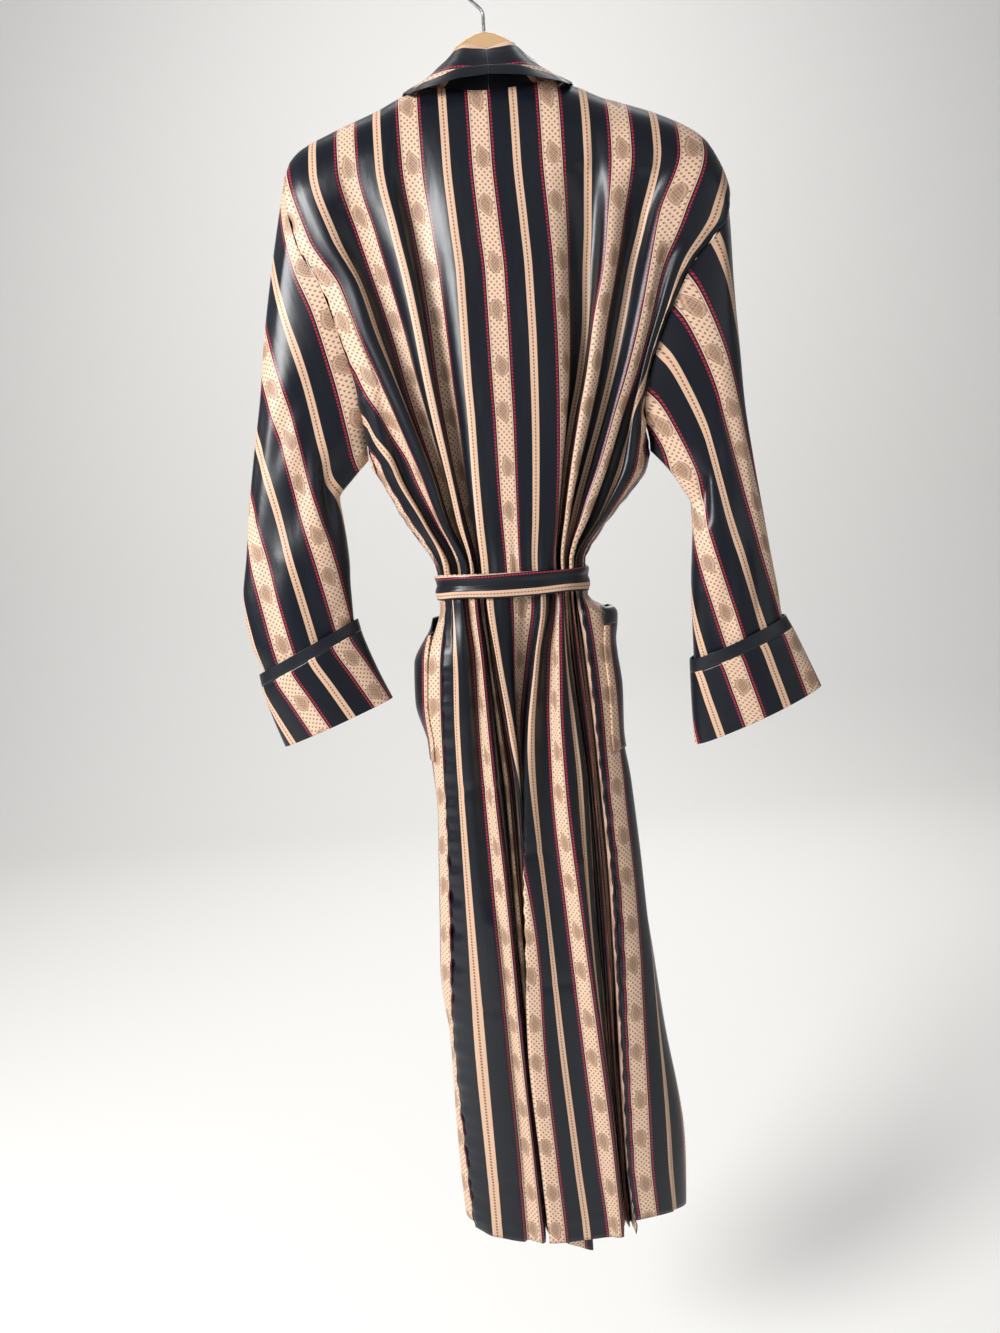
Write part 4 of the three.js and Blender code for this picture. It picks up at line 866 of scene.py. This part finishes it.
def sleeve_place(grid, tilt):
    """Place in a sleeve's cloth, laid open into one plane. The back layer lies
    as it hangs: a point is its distance along the ring from the outer edge,
    inwards along the ring's own direction. The front layer is turned over the
    outer edge: the same distance along the direction mirrored about the edge.
    Stripes run down this plane, tilted from upright by the given angle."""
    round_it, _ = tube_place(grid)
    half = len(grid) // 2
    outer, inner = grid[half][:, [0, 2]], grid[0][:, [0, 2]]
    ring_way = (outer - inner) / np.linalg.norm(outer - inner, axis=-1, keepdims=True)
    reach = round_it - round_it[half]
    slack = (reach[-1] - np.linalg.norm(outer - inner, axis=-1)) / 2
    edge = outer + ring_way * slack[:, None]
    edge_way = np.gradient(edge, axis=0)
    edge_way = edge_way / np.linalg.norm(edge_way, axis=-1, keepdims=True)
    mirrored = ring_way - 2 * (ring_way * edge_way).sum(-1, keepdims=True) * edge_way
    open_plane = edge - reach[..., None] * np.where(reach[..., None] > 0, ring_way, mirrored)
    x, z = open_plane[..., 0], open_plane[..., 1]
    return x * math.cos(tilt) + z * math.sin(tilt), x * math.sin(tilt) - z * math.cos(tilt)


def turns(around):
    """Turns round a tube from its inner side, where the seam is."""
    return (np.arange(around) / around + 0.5) % 1


for side in ("left", "right"):
    around, rows = 120, 118
    turn, run = np.meshgrid(turns(around), np.linspace(0, 1, rows), indexing="ij")
    place = run * 11
    section = section_at(SLEEVES[side], np.clip((place - 1) / 10, 0, 1))
    loops = loop_points(section, turn)
    centre = loop_points({**section, "half": 0 * turn}, 0.25 + 0 * turn)
    inward = (centre - loops) * (1, 1, 0)
    inward = inward / np.maximum(np.linalg.norm(inward, axis=-1, keepdims=True), 1e-9)
    depth = fold_depth(SLEEVE_FOLDS, turn, run) + fold_depth(FINE_SLEEVE_FOLDS, turn, run)
    loops = loops + inward * depth[..., None]
    grid = mix(armhole_points(side, turn), loops, ease(place / 3)[..., None])
    u, v = sleeve_place(grid, STRIPE_TILT[side])
    u = u + STRIPE_START[side]
    piece = sheet_object(f"robe_sleeve_{side}", grid, (u, v), STRIPED, closed=True, flip=side == "left")
    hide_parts(f"sleeve_{side}")
    cut_sheet(piece)


# Cuffs
# Deep cuffs turned back over the sleeves' ends, with stripes that run across
# the sleeve's opening and a plain band along the upper edge.
CUFFS = {
    "left": table("ox oz ix iz half", (-298, -704, -186, -650, 27), (-296, -721, -183, -666, 27),
                  (-287, -754, -170, -704, 26), (-276, -788, -154, -742, 25)),
    "right": table("ox oz ix iz half", (295, -678, 189, -721, 27), (304, -695, 189, -739, 27),
                   (318, -727, 189, -777, 26), (333, -762, 190, -819, 25))}
CUFF_STRIPE_START = {"left": 28.5, "right": 67.5}
CUFF_TILT = {"left": math.radians(12.5), "right": math.radians(22)}
CUFF_PARTS = (("cuff_band", 0.0, 0.29, 9, PLAIN), ("cuff", 0.291, 1.0, 26, STRIPED))
for side in ("left", "right"):
    for name, start, end, rows, material in CUFF_PARTS:
        turn, place = np.meshgrid(turns(120), np.linspace(start, end, rows), indexing="ij")
        grid = loop_points(section_at(CUFFS[side], place), turn, 1.6)
        waves = 0.9 * np.sin(2 * np.pi * turn * 5 + 1 + 3 * place) * bell((place - 0.6) / 0.5)
        grid = grid + normals_of(grid, True) * waves[..., None] * (1 if side == "left" else -1) * 0.6
        length, drop = tube_place(grid)
        tilt = CUFF_TILT[side] if name == "cuff" else 0.0
        u = length * math.cos(tilt) - drop * math.sin(tilt) + CUFF_STRIPE_START[side]
        v = length * math.sin(tilt) + drop * math.cos(tilt)
        piece = sheet_object(f"robe_{name}_{side}", grid, (u, v), material, closed=True,
                             flip=side == "left", thick=1.2)
        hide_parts(f"{name}_{side}")
        cut_sheet(piece, (length, drop))


# Shawl collar
# It stands up round the neck, rolls over and falls on the shoulders, and goes
# on down the front edges to the belt. A plain band runs along its outer edge.
COLLAR_NECK = table(
    "nx rx ry rz ex ey ez",
    (0.3, 0.3, -39, -80, 0.3, -60, -111), (24, 22, -38, -74.5, 26, -60, -112.5),
    (50, 44, -29, -86, 58, -52, -116), (67, 57, -15, -90, 80, -36, -115),
    (72, 61.5, -7, -91, 87.5, -20, -107.5), (74.4, 64, 1, -92, 90, -3, -103))
COLLAR_TURN = {"z": -108.0, "roll": (66, 15, -99), "edge": (94, 15, -111)}
COLLAR_FRONT = table(
    "z width", (-131, 42), (-158, 57), (-198, 66), (-254, 73), (-314, 75), (-374, 74), (-434, 69),
    (-495, 55), (-550, 34), (-588, 17))
BAND_WIDTH, COLLAR_LIFT, EDGE_SLOPE, ROLL_HALF = 13.0, 3.0, 0.26, 1.4
LEAF_DRAWN, STAND_DRAWN, STAND_FROM = 0.76, 0.4, 32.0


def neck_section(start, roll, edge):
    """Profile of the collar at one place: up from the seam, over the roll and
    down to the outer edge. Returns the stand, the leaf's points and its width."""
    out = (edge - start) * (1, 1, 0)
    out = out / np.linalg.norm(out)
    rise, fall = roll - ROLL_HALF * out, roll + ROLL_HALF * out
    stand = [start, (start + rise) / 2, rise, roll + (0, 0, ROLL_HALF)]
    leaf = lambda s: mix(fall, edge, s) + out * 5 * s * (1 - s)
    return stand, leaf, np.linalg.norm(edge - fall)


def front_surface(side, x, z):
    y = girth_y(girth_at(z), x, False) * shoulder_roll(x, z)
    return y - wrap_drop(side, x, y, z)


def front_section(side, z, width, mirror):
    """The same beside a front's free edge, where the leaf lies on the front."""
    edge = front_points(side, 1, z)[0]
    beyond = lambda step, lift: edge + (-mirror * step, lift, 0)

    def leaf(s):
        x = edge[0] + mirror * (s * width - (1 - s) * 4)
        level_z = z - EDGE_SLOPE * s * width
        return np.array((x, front_surface(side, np.array(x), np.array(level_z)) + COLLAR_LIFT, level_z))
    return [beyond(0.9, 0), beyond(2.5, 0), beyond(4, 0.2), beyond(5.6, 1.5)], leaf, width


def refine(grid, columns, rows):
    """A finer grid of points on a smooth surface through a coarse one."""
    for axis, count in ((0, columns), (1, rows)):
        keys = np.arange(grid.shape[axis])
        at = np.linspace(0, keys[-1], count)
        lines = np.moveaxis(grid, axis, 0).reshape(len(keys), -1)
        fine = np.stack([smooth(keys, line, at) for line in lines.T], 1)
        grid = np.moveaxis(fine.reshape(count, *np.moveaxis(grid, axis, 0).shape[1:]), 0, axis)
    return grid


for side in ("left", "right"):
    mirror = -1 if side == "left" else 1
    sections = []
    for nx, rx, ry, rz, ex, ey, ez in zip(*COLLAR_NECK.values()):
        start = np.array((mirror * nx, -neck_depth(nx), neck_z(mirror * nx)))
        roll, edge = np.array((mirror * rx, ry, rz)), np.array((mirror * ex, ey, ez))
        sections.append(neck_section(start, roll, edge))
    turn_point = front_points(side, 1, COLLAR_TURN["z"])[0] - (mirror * 0.9, 0, 0)
    roll, edge = (np.array(COLLAR_TURN[k]) * (mirror, 1, 1) for k in ("roll", "edge"))
    sections.append(neck_section(turn_point, roll, edge))
    for z, width in zip(COLLAR_FRONT["z"], COLLAR_FRONT["width"]):
        sections.append(front_section(side, float(z), float(width), mirror))
    split = [max(0.3, 1 - BAND_WIDTH / width) for _, _, width in sections]
    body = np.array([stand + [leaf(s) for s in np.linspace(0, cut, 6)]
                     for (stand, leaf, _), cut in zip(sections, split)])
    band = np.array([[leaf(s) for s in np.linspace(cut + 0.6 / width, 1, 3)]
                     for (_, leaf, width), cut in zip(sections, split)])
    for name, coarse, rows, material in (("collar", body, 46, STRIPED), ("collar_band", band, 10, PLAIN)):
        grid = refine(coarse, 150, rows)
        step = np.linalg.norm(np.diff(grid, axis=1), axis=-1)
        reach = np.concatenate((np.zeros((150, 1)), np.cumsum(step, 1)), 1)
        spine = np.linalg.norm(np.diff(grid[:, rows // 2], axis=0), axis=-1)
        v = np.repeat(np.append(0, np.cumsum(spine))[:, None], rows, 1)
        # The stripes are drawn closer than they lie in the cloth, so that the
        # dark ground fills the leaf at the middle of the neck and the stand.
        u = (reach[:, -1:] - reach) * LEAF_DRAWN + 13.6 - 12 * ease((v - 10) / 55)
        u = u - STAND_DRAWN * np.maximum(0, u - STAND_FROM)
        grid[..., 0] -= mirror * 0.25 * bell(v / 6)
        piece = sheet_object(f"robe_{name}_{side}", grid, (u, v), material, flip=side == "left", thick=1.0)
        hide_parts(f"{name}_{side}")
        cut_sheet(piece, (reach, v))


# Belt
# A long strip of the striped cloth, bunched round the waist and tied in front
# in one knot, with its two ends hanging.
BELT_WIDTH, BELT_FROM, BELT_TO = 38.0, 9.5, 43.0
BELT_ENDS = table(
    "top_x low_x top_z low_z y twist", (-13, -27, -645, -1052, 58, 0.35), (12, 21, -645, -1008, 61, -0.3))
KNOT = {"x": 0.0, "y": 59.9, "z": -622.0, "wide": 21.0, "deep": 10.0, "high": 22.0}
around, rows = 220, 22
angle = np.pi * (2 * np.arange(around) / around - 1)
heights = np.linspace(0, 1, rows)
ring = []
for height in heights:
    z = np.full(around, mix(BELT_TOP, BELT_LOW, height))
    x, y = girth_point(girth_at(z), z, angle)
    ring.append(np.stack((x, y, z), -1))
grid = np.stack(ring, 1)
turn, height = np.meshgrid(angle, heights, indexing="ij")
trough = bell((height - 0.42 - 0.08 * np.sin(turn * 2)) / 0.09)
profile = (1.1 * bell((height - 0.12) / 0.12) + 1.4 * bell((height - 0.72) / 0.2)
           - 0.8 * trough + 0.5 * np.sin(turn * 9 + height * 5))
out = normals_of(grid, True)
out = out * np.sign(np.sum(out * grid * (1, 1, 0), -1).mean())
grid = grid + out * (2.3 + profile)[..., None]
grid[..., 2] += 1.2 * np.sin(turn * 2.0 + 0.5) * (1 - height) + 0.8 * np.sin(turn * 5) * height
arc, drop = tube_place(grid)
start = BELT_FROM + 3 * np.concatenate((grid, grid[:1]))[:, :1, 0] / 80
place = (mix(start, BELT_TO, heights), arc)
belt = sheet_object("robe_belt", grid, place, STRIPED, closed=True, flip=True, thick=1.6)
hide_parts("belt")
cut_sheet(belt, (drop, arc))

around_knot, over_knot = np.linspace(0, 2 * np.pi, 64, endpoint=False), np.linspace(0.02, np.pi - 0.02, 40)
turn, lift = np.meshgrid(around_knot, over_knot, indexing="ij")
swell = 1 + 0.08 * np.cos(3 * turn + 0.4) * np.sin(lift) ** 2
swell = swell - 0.06 * bell((np.sin(turn + 2.2 * lift)) / 0.25)
grid = np.stack((
    KNOT["x"] + KNOT["wide"] * swell * np.sin(lift) * np.cos(turn),
    KNOT["y"] + KNOT["deep"] * np.clip(-np.cos(lift), -0.88, 1),
    KNOT["z"] + KNOT["high"] * swell * np.sin(lift) * np.sin(turn)), -1)
knot = sheet_object("robe_belt_knot", grid, tube_place(grid), STRIPED, closed=True, thick=0.8)
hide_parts("belt_knot")
cut_sheet(knot)

for k, side in enumerate(("left", "right")):
    end = {name: float(column[k]) for name, column in BELT_ENDS.items()}
    across, t = np.meshgrid(np.linspace(-0.5, 0.5, 24), np.linspace(0, 1, 110), indexing="ij")
    spread = mix(0.55, 1, ease(t * 2.5))
    twist = end["twist"] * np.sin(np.pi * t)
    ripple = 1.3 * np.cos(4 * np.pi * across) * (1 - t) + 1.2 * np.sin(t * 9 + 4 * across)
    grid = np.stack((
        mix(end["top_x"], end["low_x"], t) + BELT_WIDTH * across * spread * np.cos(twist),
        end["y"] + BELT_WIDTH * across * spread * np.sin(twist) * 0.3 + ripple,
        mix(end["top_z"], end["low_z"], t)), -1)
    piece = sheet_object(f"robe_belt_end_{side}", grid, (BELT_WIDTH * across + 26, t * 410), STRIPED,
                         flip=True, thick=1.4)
    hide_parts(f"belt_end_{side}")
    cut_sheet(piece)


# Hanger
# Varnished wood with a rounded edge, and a plated wire hook set into its top.
def wood():
    material, tree, shader = new_material("hanger_wood", 0.32)
    place = tree.nodes.new("ShaderNodeTexCoord")
    spread = tree.nodes.new("ShaderNodeMapping")
    spread.inputs["Scale"].default_value = (6, 30, 60)
    tree.links.new(place.outputs["Object"], spread.inputs["Vector"])
    grain = tree.nodes.new("ShaderNodeTexNoise")
    grain.inputs["Scale"].default_value = 3
    grain.inputs["Detail"].default_value = 8
    tree.links.new(spread.outputs[0], grain.inputs["Vector"])
    lines = Term(tree, grain.outputs[0])
    colour = paint(tree, (((0.58, 0.38, 0.2), None), ((0.36, 0.2, 0.09), lines.inside(0.47, 0.09))))
    tree.links.new(colour, shader.inputs["Base Color"])
    bump = tree.nodes.new("ShaderNodeBump")
    bump.inputs["Strength"].default_value = 0.08
    tree.links.new(lines.socket, bump.inputs["Height"])
    tree.links.new(bump.outputs[0], shader.inputs["Normal"])
    shader.inputs["Coat Weight"].default_value = 0.5
    shader.inputs["Coat Roughness"].default_value = 0.12
    return material


def steel():
    material, tree, shader = new_material("hook_steel", 0.2)
    shader.inputs["Metallic"].default_value = 1
    place = tree.nodes.new("ShaderNodeTexCoord")
    wear = tree.nodes.new("ShaderNodeTexNoise")
    wear.inputs["Scale"].default_value = 180
    tree.links.new(place.outputs["Object"], wear.inputs["Vector"])
    worn = Term(tree, wear.outputs[0])
    colour = paint(tree, (((0.68, 0.68, 0.69), None), ((0.5, 0.49, 0.48), worn.inside(0.45, 0.1))))
    tree.links.new(colour, shader.inputs["Base Color"])
    tree.links.new((worn * 0.14 + 0.13).socket, shader.inputs["Roughness"])
    return material


for node, material in (("hanger_wood", wood()), ("hanger_hook", steel())):
    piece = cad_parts[node]
    piece.data.materials.clear()
    piece.data.materials.append(material)


# Stage
# A pale floor that curves up far behind, one lamp for it, and soft light on
# the robe, most of it from the left as in the photograph.
FLOOR, FAR, RISE_FROM = -1.72, 4.2, 2.8
run = np.linspace(-6, RISE_FROM, 8)
bend = np.linspace(0, np.pi / 2, 16)[1:]
profile = [(y, FLOOR) for y in run]
round_by = FAR - RISE_FROM
profile += [(RISE_FROM + round_by * math.sin(a), FLOOR + round_by * (1 - math.cos(a))) for a in bend]
profile.append((FAR, 4.5))
corners = [(x, y, z) for x in (-7.0, 7.0) for y, z in profile]
count = len(profile)
floor_mesh = bpy.data.meshes.new("floor")
floor_mesh.from_pydata(corners, [], [(k, count + k, count + k + 1, k + 1) for k in range(count - 1)])
floor_mesh.polygons.foreach_set("use_smooth", np.ones(count - 1, bool))
floor_material, floor_tree, floor_shader = new_material("pale_floor", 0.9, 0.1)
floor_shader.inputs["Base Color"].default_value = (0.83, 0.82, 0.8, 1)
floor_mesh.materials.append(floor_material)
floor = bpy.data.objects.new("floor", floor_mesh)
bpy.context.scene.collection.objects.link(floor)
floor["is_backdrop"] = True

world = bpy.data.worlds.new("soft_light")
world.use_nodes = True
world.node_tree.nodes["Background"].inputs[0].default_value = (0.93, 0.94, 0.96, 1)
world.node_tree.nodes["Background"].inputs[1].default_value = 0.26
bpy.context.scene.world = world
for name, place, aim, size, power in (
        ("key", (-2.1, -1.7, 0.4), (0, 0, -0.7), 1.2, 125),
        ("fill", (2.4, -2.2, 0.1), (0, 0, -0.8), 2.2, 9),
        ("front", (0.6, 2.6, 0.9), (0, 0, -0.7), 1.8, 24),
        ("backdrop", (0.2, 1.2, 2.2), (0, 4.2, -0.3), 2.6, 62)):
    lamp = bpy.data.objects.new(name, bpy.data.lights.new(name, "AREA"))
    lamp.data.shape = "DISK"
    lamp.data.size = size
    lamp.data.energy = power
    lamp.location = place
    lamp.rotation_euler = (Vector(aim) - Vector(place)).to_track_quat("-Z", "Y").to_euler()
    bpy.context.scene.collection.objects.link(lamp)
bpy.context.scene.view_settings.view_transform = "Standard"

seen_box = [list(map(float, corner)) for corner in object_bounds()]
